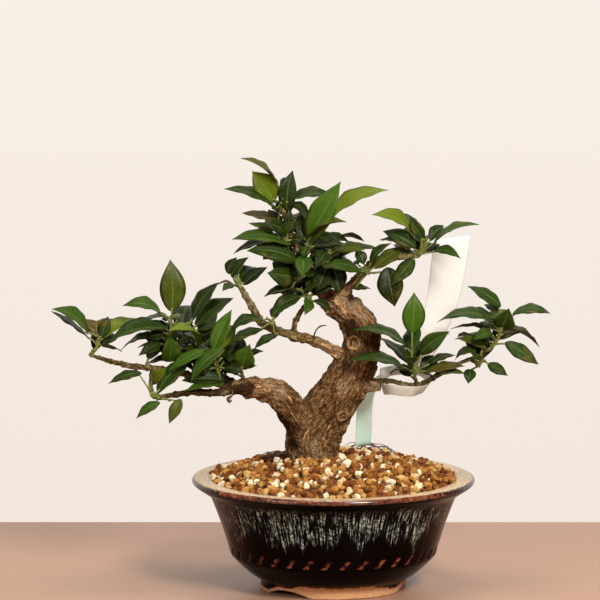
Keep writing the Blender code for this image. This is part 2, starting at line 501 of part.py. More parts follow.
def make_soil(collection):
    """The soil: its top is a honeycomb of raised granules, and a plain hole holds the trunk's foot."""
    draw = random.Random(5)
    rings = POT_STEPS
    turns = [2 * math.pi * k / rings for k in range(rings)]
    edge = [(SOIL_RADIUS * math.cos(turn), SOIL_RADIUS * math.sin(turn)) for turn in turns]
    points = [Vector(p) for p in edge]
    heights = [SOIL_EDGE_HEIGHT] * rings
    reach = int(SOIL_RADIUS / GRANULE_SPACING) + 2
    row_gap = GRANULE_SPACING * math.sqrt(3) / 2
    for j in range(-2 * reach, 2 * reach + 1):
        for i in range(-2 * reach, 2 * reach + 1):
            x = (i + j / 2) * GRANULE_SPACING + draw.uniform(-GRANULE_SCATTER, GRANULE_SCATTER)
            y = j * row_gap + draw.uniform(-GRANULE_SCATTER, GRANULE_SCATTER)
            lift = 1.0 if (i - j) % 3 == 0 else -0.45
            height = mound_height(x, y) + lift * GRANULE_RELIEF * draw.uniform(0.6, 1.0)
            if math.hypot(x, y) < SOIL_RADIUS - GRANULE_SPACING * 0.55:
                points.append(Vector((x, y)))
                heights.append(height)
    loop = [(k, (k + 1) % rings) for k in range(rings)]
    flat, _, triangles, _, _, _ = delaunay_2d_cdt(points, loop, [], 1, 0.001)
    vertices = [(p.x, p.y, z) for p, z in zip(flat, heights)]
    faces = [tuple(t) for t in triangles]
    sides = [(THROAT_RADIUS - GAP, THROAT_HEIGHT), (MIDDLE_RADIUS - WALL - GAP, MIDDLE_HEIGHT),
             (SHOULDER_RADIUS - WALL - GAP, SHOULDER_HEIGHT + 3.0),
             (FLOOR_RADIUS, FLOOR_HEIGHT + FLOOR_DISH + 2 * GAP), (SCREEN_SIDE * 0.75, SCREEN_SEAT + 2 * GAP),
             (SCREEN_SIDE * 0.75, SCREEN_SEAT + SCREEN_THICKNESS + 2 * GAP)]
    previous = list(range(rings))
    for radius, z in sides:
        ring = [len(vertices) + k for k in range(rings)]
        vertices += [(radius * x / SOIL_RADIUS, radius * y / SOIL_RADIUS, z) for x, y in edge]
        faces += [(previous[k], ring[k], ring[(k + 1) % rings], previous[(k + 1) % rings])
                  for k in range(rings)]
        previous = ring
    faces.append(tuple(previous[::-1]))
    soil = add_mesh("soil", vertices, faces, collection)

    holes = new_collection("trunk_hole")
    hole = bpy.data.meshes.new("trunk_hole")
    profile = [(COLLAR_RADIUS, RIM_HEIGHT + 40), (COLLAR_RADIUS, COLLAR_HEIGHT),
               (TRUNK_FOOT_RADIUS + GAP, COLLAR_HEIGHT - COLLAR_DEPTH),
               (TRUNK_FOOT_RADIUS + GAP, TRUNK_FOOT_HEIGHT - GAP)]
    steps = HOLE_STEPS
    turns = [2 * math.pi * k / steps for k in range(steps)]
    spun = [(TRUNK_FOOT.x + r * math.cos(turn), TRUNK_FOOT.y + r * math.sin(turn), z)
            for r, z in profile for turn in turns]
    walls = [(a + k, a + steps + k, a + steps + (k + 1) % steps, a + (k + 1) % steps)
             for a in range(0, steps * (len(profile) - 1), steps) for k in range(steps)]
    caps = [tuple(range(steps)), tuple(range(len(spun) - steps, len(spun)))[::-1]]
    hole.from_pydata([Vector(v) * MM for v in spun], [], walls + caps)
    cutter = add_object("trunk_hole", hole, holes)
    cutter.hide_render = True
    cutter.display_type = "WIRE"
    boolean(soil, "DIFFERENCE", holes)
    paint(soil, (0.5, 0.28, 0.12), 0.9)
    return soil


def make_trunk(collection):
    """The wood, grown as one piece: trunk, left limb, sawn stub, and every twig with a flat end."""
    foot = [(TRUNK_FOOT.x, TRUNK_FOOT.y, z, r) for z, r in
            ((TRUNK_FOOT_HEIGHT, TRUNK_FOOT_RADIUS - 1.0), (70.0, TRUNK_FOOT_RADIUS - 0.8))]
    upper = [(*seen(*row[:3]), row[3]) for row in TRUNK[1:]]
    trunk = limb("trunk", smooth_route(foot + upper, TRUNK_STEP), 12, 0.16, collection)
    branches = new_collection("branches")
    limb("left_limb", placed(LEFT_LIMB, 8.0), 10, 0.2, branches)
    limb("stub", placed(STUB, 6.0), 8, 0.1, branches)
    for name, rows in TWIGS.items():
        tube(name, placed(rows, TWIG_STEP), branches, 1)
    boolean(trunk, "UNION", branches)
    paint(trunk, (0.17, 0.11, 0.07), 0.85)
    return trunk


def strip(name, middles, acrosses, widths, collection, closed=False):
    """A flat strip of the label's stock along a row of points, each with its width across."""
    count = len(middles)
    vertices, faces = [], []
    for i, (middle, across, width) in enumerate(zip(middles, acrosses, widths)):
        before = middles[i - 1] if closed else middles[max(i - 1, 0)]
        after = middles[(i + 1) % count] if closed else middles[min(i + 1, count - 1)]
        out = (after - before).cross(across).normalized() * LABEL_THICKNESS / 2
        wide = across.normalized() * width / 2
        vertices += [middle - wide - out, middle + wide - out, middle + wide + out, middle - wide + out]
    for i in range(count if closed else count - 1):
        for k in range(4):
            a, b, step = 4 * i + k, 4 * i + (k + 1) % 4, 4 * ((i + 1) % count - i)
            faces.append((a, b, b + step, a + step))
    if not closed:
        last = len(vertices) - 4
        faces += [(3, 2, 1, 0), (last, last + 1, last + 2, last + 3)]
    return add_mesh(name, vertices, faces, collection)


def make_label(collection):
    """A blank plastic plant label: a loop round the twig, a broad head upwards and a tail downwards."""
    up = Vector((0, 0, 1))
    route = smooth_route([tuple(seen(*row)) for row in LABEL_LOOP + LABEL_LOOP[:1]], LABEL_STEP)
    loop = [Vector(p) for p in route[:-1]]
    label = strip("label", loop, [up] * len(loop), [LABEL_LOOP_WIDTH] * len(loop), collection, closed=True)
    pieces = new_collection("label_pieces")
    head = [seen(*row[:3]) for row in LABEL_HEAD]
    strip("head", head, [Vector((1, 0.15, 0.12))] * len(head), [row[3] for row in LABEL_HEAD], pieces)
    tail = [seen(*row) for row in LABEL_TAIL]
    strip("tail", tail, [Vector((1, 0.1, 0.1))] * len(tail), [LABEL_TAIL_WIDTH] * len(tail), pieces)
    boolean(label, "UNION", pieces)
    paint(label, (0.85, 0.85, 0.82), 0.4)
    return label


def blade_frame(leaf):
    """The leaf's own directions: along its rib, across it and out of its upper face."""
    along = (leaf.tip - leaf.base).normalized()
    across = along.cross(leaf.normal).normalized()
    return along, across, across.cross(along)


def leaf_mesh(leaf, extra=0.0):
    """An arched leaf with its stalk: (vertices, faces), `extra` mm fatter for trying its place."""
    along, across, out = blade_frame(leaf)
    length = (leaf.tip - leaf.base).length
    line = (leaf.base - leaf.root).normalized()
    side = (across - line * across.dot(line)).normalized() * (STALK_WIDTH / 2 + extra)
    above = side.cross(line).normalized() * (STALK_WIDTH / 2 + extra)
    sections = [(leaf.root, side, above)]
    if (leaf.base - leaf.root).length > LONG_STALK:
        sections.append((leaf.base, side, above))
    for share, breadth in leaf.stations:
        rise = out * leaf.arch * length * 4 * share * (1 - share)
        half = across * (leaf.width / 2 * breadth + extra)
        sections.append((leaf.base.lerp(leaf.tip, share) + rise, half, out * (BLADE_THICKNESS / 2 + extra)))
    vertices = []
    for middle, half, thick in sections:
        vertices += [middle - half + thick, middle + half + thick, middle + half - thick,
                     middle - half - thick]
    vertices.append(leaf.tip + along * extra)
    tip = len(vertices) - 1
    faces = [(3, 2, 1, 0)]
    for a in range(0, tip - 4, 4):
        for k in range(4):
            b = (k + 1) % 4
            faces += [(a + k, a + b, a + b + 4), (a + k, a + b + 4, a + k + 4)]
    faces += [(tip - 4 + k, tip - 4 + (k + 1) % 4, tip) for k in range(4)]
    return vertices, faces


def tree_of(meshes):
    """One search tree over several (vertices, faces) pairs."""
    vertices, faces = [], []
    for points, polygons in meshes:
        faces += [tuple(i + len(vertices) for i in polygon) for polygon in polygons]
        vertices += points
    return BVHTree.FromPolygons([tuple(v) for v in vertices], faces)


def swung(leaf, yaw, pitch):
    """The leaf turned about its stalk's root, sideways and up or down."""
    _, across, _ = blade_frame(leaf)
    turn = Quaternion((0, 0, 1), math.radians(yaw)) @ Quaternion(across, math.radians(pitch))
    return leaf._replace(base=leaf.root + turn @ (leaf.base - leaf.root),
                         tip=leaf.root + turn @ (leaf.tip - leaf.root), normal=turn @ leaf.normal)


def settle(leaf, foreign, own, swings, crossing_allowed):
    """Swing a leaf until it is clear of other pieces and, if it can be, of its own spray's leaves."""
    clear_of_foreign = None
    for yaw, pitch in swings:
        trial = swung(leaf, yaw, pitch)
        fat = tree_of([leaf_mesh(trial, CLEARANCE)])
        if any(fat.overlap(tree) for tree in foreign):
            continue
        if clear_of_foreign is None and crossing_allowed:
            clear_of_foreign = trial
        free = trial._replace(root=trial.root.lerp(trial.base, OWN_ROOT_SHARE))
        slim = tree_of([leaf_mesh(free, OWN_CLEARANCE)])
        if not any(slim.overlap(tree) for tree in own):
            return trial
    return clear_of_foreign


def samples_of(route):
    """Points close together along a stem, from where leaves may grow: past the join with the wood."""
    return [a.lerp(b, i / STEM_SAMPLES) for a, b in zip(route[1:], route[2:]) for i in range(STEM_SAMPLES)]


def rooted(samples, index, order):
    """Where a leaf's stalk leaves the stem: each a little further back, so that no two share a place."""
    spacing = max((samples[1] - samples[0]).length, 0.01)
    back = index - round(STALK_STEP * (order % 5) / spacing)
    return samples[max(back, min(order, len(samples) - 1))]


def seen_leaf(row, route, order):
    """A leaf from its row: its depth comes from the stem, and its roll from the breadth that shows."""
    samples = samples_of(route)
    looks = seen(row.base_x, row.base_y, route[0].y)
    index = min(range(len(samples)), key=lambda i: math.hypot(samples[i].x - looks.x, samples[i].z - looks.z))
    near, root = samples[index], rooted(samples, index, order)
    base = seen(row.base_x, row.base_y, near.y + row.reach * 0.12)
    tip = seen(row.tip_x, row.tip_y, base.y + row.reach)
    length = (tip - base).length
    if (base - root).length < SHORTEST_STALK:
        base = root + (tip - root).normalized() * SHORTEST_STALK
    shown = abs(row.shown) * MM_PER_PIXEL
    width = min(max(length * WIDTH_SHARE, shown * 1.02, NARROWEST), BROADEST)
    roll = math.asin(min(1.0, shown / width)) - VIEW_PITCH
    if row.shown < 0:
        roll = -roll - 2 * VIEW_PITCH
    normal = Vector((0, -math.sin(roll), math.cos(roll)))
    if abs((tip - base).normalized().dot(normal)) > 0.8:
        normal = Vector((0, -1, 0.2))
    return Blade(root, base, tip, normal, width, row.arch, SEEN_STATIONS)


def filled_leaf(route, draw, order):
    """A leaf that the picture hides: somewhere on the stem, pointing away from the eye."""
    turn = draw.uniform(0.02, 0.98) * math.pi
    along = Vector((math.cos(turn), math.sin(turn), draw.uniform(-0.25, 0.75))).normalized()
    samples = samples_of(route)
    root = rooted(samples, draw.randrange(len(samples)), order)
    base = root + along * draw.uniform(4.0, 7.0)
    length = draw.uniform(*FILL_LENGTHS)
    normal = Vector((draw.uniform(-0.4, 0.4), draw.uniform(-0.6, 0.1), 1.0)).normalized()
    return Blade(root, base, base + along * length, normal, length * WIDTH_SHARE, draw.uniform(0.06, 0.18),
                 FILL_STATIONS)


def stem_route(name, spray):
    """The green stem's rows: on from the twig's flat end, a gap away from it, then along its own."""
    wood = placed(TWIGS[name], TWIG_STEP)
    end, before = Vector(wood[-1][:3]), Vector(wood[-2][:3])
    along = (end - before).normalized()
    radius = wood[-1][3]
    rows = [(*(end + along * GAP), radius), (*(end + along * (GAP + 2.5)), radius * 0.95)]
    for i, row in enumerate(spray.stem):
        rows.append((*seen(*row), radius * (0.9 - 0.25 * (i + 1) / len(spray.stem))))
    return smooth_route(rows, STEM_STEP)


def mesh_in_mm(thing):
    mesh = thing.data
    return [v.co / MM for v in mesh.vertices], [tuple(p.vertices) for p in mesh.polygons]


def make_foliage(trunk, label, collection):
    """Every spray: a green stem with its leaves, swung clear of each other and fused in one piece."""
    fixed = [tree_of([mesh_in_mm(trunk)]), tree_of([mesh_in_mm(label)])]
    rows = {name: stem_route(name, spray) for name, spray in SPRAYS.items()}
    routes = {name: [Vector(row[:3]) for row in rows[name]] for name in SPRAYS}
    stems = {name: tube(name + "_spray", rows[name], collection, 0) for name in SPRAYS}
    stem_trees = {name: tree_of([mesh_in_mm(stem)]) for name, stem in stems.items()}
    grown = {name: [] for name in SPRAYS}
    trees = {name: [] for name in SPRAYS}

    def grow(name, leaf, swings, crossing_allowed):
        foreign = fixed + [tree for other, tree in stem_trees.items() if other != name]
        foreign += [tree for other, group in trees.items() if other != name for tree in group]
        settled = settle(leaf, foreign, trees[name], swings, crossing_allowed)
        if settled:
            grown[name].append(settled)
            trees[name].append(tree_of([leaf_mesh(settled)]))
        return settled

    for name, spray in SPRAYS.items():
        for order, row in enumerate(spray.leaves):
            grow(name, seen_leaf(row, routes[name], order), SWINGS, True)
    for name, spray in SPRAYS.items():
        draw = random.Random(spray.seed)
        for order in range(spray.fill):
            for _ in range(FILL_TRIES):
                if grow(name, filled_leaf(routes[name], draw, order + 2), SWINGS[:9], False):
                    break

    for name, leaves in grown.items():
        blades = new_collection("leaves")
        for leaf in leaves:
            add_mesh("leaf", *leaf_mesh(leaf), blades)
        boolean(stems[name], "UNION", blades, "MANIFOLD")
        keep_outer_body(stems[name])
        paint(stems[name], (0.06, 0.16, 0.035), 0.35)
    return grown


def stand_on_origin(collection):
    """Move everything so that the middle of the whole box is over the origin."""
    corners = [v.co for thing in collection.objects for v in thing.data.vertices]
    middle_x = (min(c.x for c in corners) + max(c.x for c in corners)) / 2
    middle_y = (min(c.y for c in corners) + max(c.y for c in corners)) / 2
    for thing in collection.objects:
        thing.data.transform(Matrix.Translation((-middle_x, -middle_y, 0)))


def main():
    clear_scene()
    collection = new_collection(COLLECTION_NAME)
    make_pot(collection)
    make_screen(collection)
    make_soil(collection)
    trunk = make_trunk(collection)
    label = make_label(collection)
    make_foliage(trunk, label, collection)
    stand_on_origin(collection)


main()
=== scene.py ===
"""The looks of a mandarin orange bonsai in a round glazed pot, laid out as an add-on and run as a script.

Lengths in the tables and in the making of each piece are in millimetres round the pot's axis. They become
metres in the frame as each mesh is made. Places of branches and leaves are given as they are seen in a
600-pixel picture of the tree, with how far they lie behind the pot's axis.
"""

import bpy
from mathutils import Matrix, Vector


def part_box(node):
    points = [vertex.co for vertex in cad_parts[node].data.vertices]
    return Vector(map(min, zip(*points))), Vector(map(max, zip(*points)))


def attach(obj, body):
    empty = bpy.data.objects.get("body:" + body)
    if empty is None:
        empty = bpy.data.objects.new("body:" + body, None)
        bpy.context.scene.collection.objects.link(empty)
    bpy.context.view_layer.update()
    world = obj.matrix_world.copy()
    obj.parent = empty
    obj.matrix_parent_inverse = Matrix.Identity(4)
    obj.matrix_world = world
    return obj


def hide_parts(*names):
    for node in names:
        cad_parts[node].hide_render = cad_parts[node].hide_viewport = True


bl_info = {
    "name": "Mandarin Orange Bonsai",
    "version": (1, 0, 0),
    "blender": (4, 5, 0),
    "location": "View3D > Sidebar > Bonsai",
    "description": "Dresses a potted citrus bonsai: glazed pot, soil, bark, leaves and a blank label",
    "category": "Add Mesh",
}

import math
import random
from collections import namedtuple

import bmesh
import bpy
from bpy.props import FloatProperty, FloatVectorProperty, IntProperty, PointerProperty
from mathutils import Matrix, Quaternion, Vector, noise
from mathutils.bvhtree import BVHTree
from mathutils.kdtree import KDTree

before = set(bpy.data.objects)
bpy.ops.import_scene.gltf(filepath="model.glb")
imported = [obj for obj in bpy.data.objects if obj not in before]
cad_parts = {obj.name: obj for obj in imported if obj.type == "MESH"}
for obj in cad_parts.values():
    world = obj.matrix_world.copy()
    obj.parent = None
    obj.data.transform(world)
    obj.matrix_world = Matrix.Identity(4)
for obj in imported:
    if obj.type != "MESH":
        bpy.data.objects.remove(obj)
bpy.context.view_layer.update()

MM = 0.001
TURN = 2 * math.pi
GAP = 0.3
POT_LOW, POT_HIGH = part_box("pot")
POT_AXIS = Vector(((POT_LOW.x + POT_HIGH.x) / 2, (POT_LOW.y + POT_HIGH.y) / 2, 0.0))
RIM_RADIUS = round((POT_HIGH.x - POT_LOW.x) / 2 / MM, 1)
RIM_HEIGHT = round(POT_HIGH.z / MM, 1)

# The eye that the picture of the tree was taken from
VIEW_DISTANCE, VIEW_HEIGHT, VIEW_SIDE = 3000.0, 589.5, -22.35
VIEW_PITCH = math.radians(7.506)
VIEW_FOCAL, VIEW_MIDDLE = 4532.0, 300.0
SENSOR_WIDTH = 36.0
MM_PER_PIXEL = 0.669

# Pot, as radius and height from the rim's top to the foot's inner edge
LIP_INNER_RADIUS, LIP_THICKNESS = 82.5, 4.0
SHOULDER_RADIUS, SHOULDER_HEIGHT = 68.3, 22.0
FOOT_RADIUS, FOOT_WIDTH, FOOT_HEIGHT = 49.5, 6.0, 6.5
DRAIN_RADIUS, FLOOR_HEIGHT, WALL = 8.0, 13.0, 5.0
NOTCHES, NOTCH_WIDTH, NOTCH_RISE, FIRST_NOTCH_DEGREES = 3, 35.0, 4.0, 230.0
MARK_HEIGHT, MARK_REACH, FIRST_MARK_DEGREES = 27.0, 3.3, -93.8
OUTER_ROWS = 60

# Soil: a bed of rings and steps that lies below the granules
SOIL_RADIUS, SOIL_EDGE_HEIGHT = 81.6, 74.0
MOUND_TOP, MOUND_RISE, MOUND_SHAPE = Vector((12.0, 25.0)), 12.0, 2.5
BED_RINGS, BED_STEPS, BED_DROP, BED_BOTTOM_RADIUS, BED_BOTTOM = 34, 96, 2.0, 75.0, 58.0
TRUNK_FOOT, TRUNK_HOLE = Vector((-14.0, 18.0)), 17.0

# Wood and leaves, as the tree's solids have them
TWIG_STEP, STEM_STEP = 12.0, 7.0
SEEN_STATIONS = ((0.20, 0.80), (0.50, 1.00), (0.80, 0.56))
FILL_STATIONS = ((0.30, 1.00), (0.72, 0.74))
BLADE_THICKNESS, BLADE_ARCH, WIDTH_SHARE = 0.7, 0.10, 0.44
NARROWEST, BROADEST = 8.5, 18.0
STALK_WIDTH, STALK_STEP, SHORTEST_STALK, LONG_STALK = 1.2, 1.8, 3.0, 5.0
STEM_SAMPLES = 16
CLEARANCE, OWN_CLEARANCE, OWN_ROOT_SHARE = 0.32, 0.1, 0.45
FILL_TRIES, FILL_SWINGS, FILL_LENGTHS = 14, 9, (24.0, 37.0)
SWINGS = [(0, 0)] + [(yaw * step, pitch * step * 0.5) for step in (6, 12, 19, 27, 36, 48, 60)
                     for yaw, pitch in ((1, 0), (-1, 0), (0, 1), (0, -1), (1, 1), (-1, 1), (1, -1),
                                        (-1, -1))]

# How closely the finished pieces follow their routes, in mm
PROFILE_STEP, LIMB_STEP, SPRAY_STEP, LOOP_STEP, STRIP_STEP, BIT_STEP = 2.4, 2.0, 1.6, 2.0, 3.0, 1.0

# The swelling of thin limbs' bark and the radius of the finished stalks, in mm, and a rootlet's points
BARK_SWELL, STALK_RADIUS, ROOTLET_POINTS = 0.35, 0.62, 12

# Leaf tones along the colour ramp, by the letter that the sprays use: the leaf's own colour, from dry brown
# and olive to yellow-green, together with painted light and shade, with darker letters down to near-black K
# for leaves in shade
LEAF_TONES_AND_SHADES = {"B": 0.02, "O": 0.16, "K": 0.32, "D": 0.42, "S": 0.5, "M": 0.6, "G": 0.74, "Y": 0.95}

Leaf = namedtuple("Leaf", "base_x base_y tip_x tip_y shown reach arch", defaults=(BLADE_ARCH,))
Spray = namedtuple("Spray", "stem tones fill seed leaves")
Blade = namedtuple("Blade", "root base tip normal width arch stations")

# Wood: each limb's rows are picture x, picture y, mm behind the pot's axis and radius in mm, from its root
TRUNK = [(312, 470, 18, 17.0), (313, 455, 18, 18.6), (312.5, 440, 18, 19.0), (318, 424, 18, 18.5),
         (331, 405, 17, 17.0), (343, 387, 16, 15.5), (353, 369, 15, 14.5), (360, 350, 14, 13.8),
         (361, 335, 14, 13.8), (357, 323, 16, 12.9), (348, 313, 19, 11.2), (338, 304, 22, 9.3),
         (326, 299, 24, 7.0), (319, 298, 25, 5.0)]
LEFT_LIMB = [(311, 440, 17, 13.0), (299, 421, 13, 11.0), (288, 403, 8, 9.6), (277, 391, 4, 8.3),
             (262, 389, 1, 7.2), (249, 388, -2, 6.7), (238, 387, -4, 5.2), (231, 387, -5, 3.6)]
STUB = [(354, 382, 15, 8.5), (364, 384, 14, 6.0), (372, 385.5, 13, 4.6), (381, 386, 12, 4.1)]
TWIGS = {
    "far_left": [(238, 387, -4, 3.6), (212, 382, 4, 2.6), (186, 374, 8, 2.4), (160, 369, 7, 2.1),
        (130, 366, 3, 1.9), (106, 360, -1, 1.6), (94, 356, -3, 1.4)],
    "left_low": [(238, 389, -5, 3.2), (213, 393, -14, 2.7), (192, 392, -19, 2.3), (172, 395, -21, 1.7),
        (160, 397, -22, 1.4)],
    "left_back": [(240, 387, -3, 3.0), (224, 377, 14, 2.1), (205, 367, 28, 1.7), (192, 359, 36, 1.4)],
    "left_outer": [(180, 373, 8, 1.6), (177, 368, 6.5, 1.4), (176, 364, 5, 1.3)],
    "left_middle": [(203, 379, 6, 1.7), (200, 374, 8, 1.5), (199, 370, 9, 1.4)],
    "left_front": [(224, 384, 0, 1.8), (221, 379, -5, 1.5), (219, 375, -8, 1.4)],
    "left_inner": [(245, 386, -3, 2.2), (243, 378, -6, 1.6), (242, 374, -7, 1.4)],
    "middle": [(350, 358, 13, 5.4), (334, 350, 8, 4.1), (318, 342, 4, 3.5), (303, 338, 1, 3.3),
        (288, 334, -2, 2.9), (272, 329, -4, 2.7), (261, 323, -5, 2.9), (255, 312, -6, 2.6),
        (247, 298, -7, 2.2), (241, 288, -8, 1.8)],
    "middle_low": [(277, 331, -4, 1.7), (275, 327, -8, 1.4), (274, 324, -11, 1.2)],
    "riser": [(293, 336, -1, 2.2), (295, 322, -1, 1.9), (301, 311, 1, 1.8), (307, 303, 3, 1.5)],
    "apex": [(328, 300, 24, 5.0), (317, 288, 19, 3.6), (308, 270, 14, 2.8), (299, 252, 10, 2.3),
        (291, 234, 8, 2.0), (285, 218, 7, 1.7), (282, 207, 6, 1.4)],
    "crown_left": [(296, 246, 9, 1.8), (291, 244, 5, 1.5), (287, 242, 2, 1.3)],
    "crown_right": [(302, 258, 11, 1.8), (306, 255, 6, 1.5), (307, 252, 3, 1.3)],
    "crown_low": [(309, 273, 14, 1.9), (304, 276, 9, 1.6), (301, 278, 6, 1.3)],
    "crown_centre": [(315, 284, 18, 2.0), (321, 279, 13, 1.7), (324, 275, 10, 1.4)],
    "crown_back": [(325, 300, 25, 4.4), (327, 282, 31, 2.8), (325, 262, 33, 2.1), (321, 246, 31, 1.5)],
    "shoulder": [(364, 271, 12, 1.9), (366, 271, 7, 1.6), (367, 272, 3, 1.3)],
    "right_upper": [(336, 302, 22, 5.6), (346, 290, 18, 3.7), (354, 282, 15, 3.2), (364, 271, 12, 2.8),
        (373, 262, 10, 2.6), (386, 258, 8, 2.2), (402, 257, 6, 2.0), (414, 256, 5, 1.7)],
    "far_right": [(370, 384, 13, 2.4), (381, 381, 12, 1.9), (392, 381, 11, 1.8), (404, 384, 10, 1.7),
        (416, 386, 8, 1.7), (428, 381, 6, 1.6), (442, 373, 4, 1.5), (462, 362, 2, 1.4),
        (479, 356, 1, 1.35), (488, 350, 0, 1.3)],
    "right_near": [(416, 386, 8, 1.6), (416, 381, 5, 1.4), (415, 377, 3, 1.3)],
    "right_middle": [(471, 359, 2, 1.5), (475, 362, -2, 1.3), (477, 364, -4, 1.2)],
}
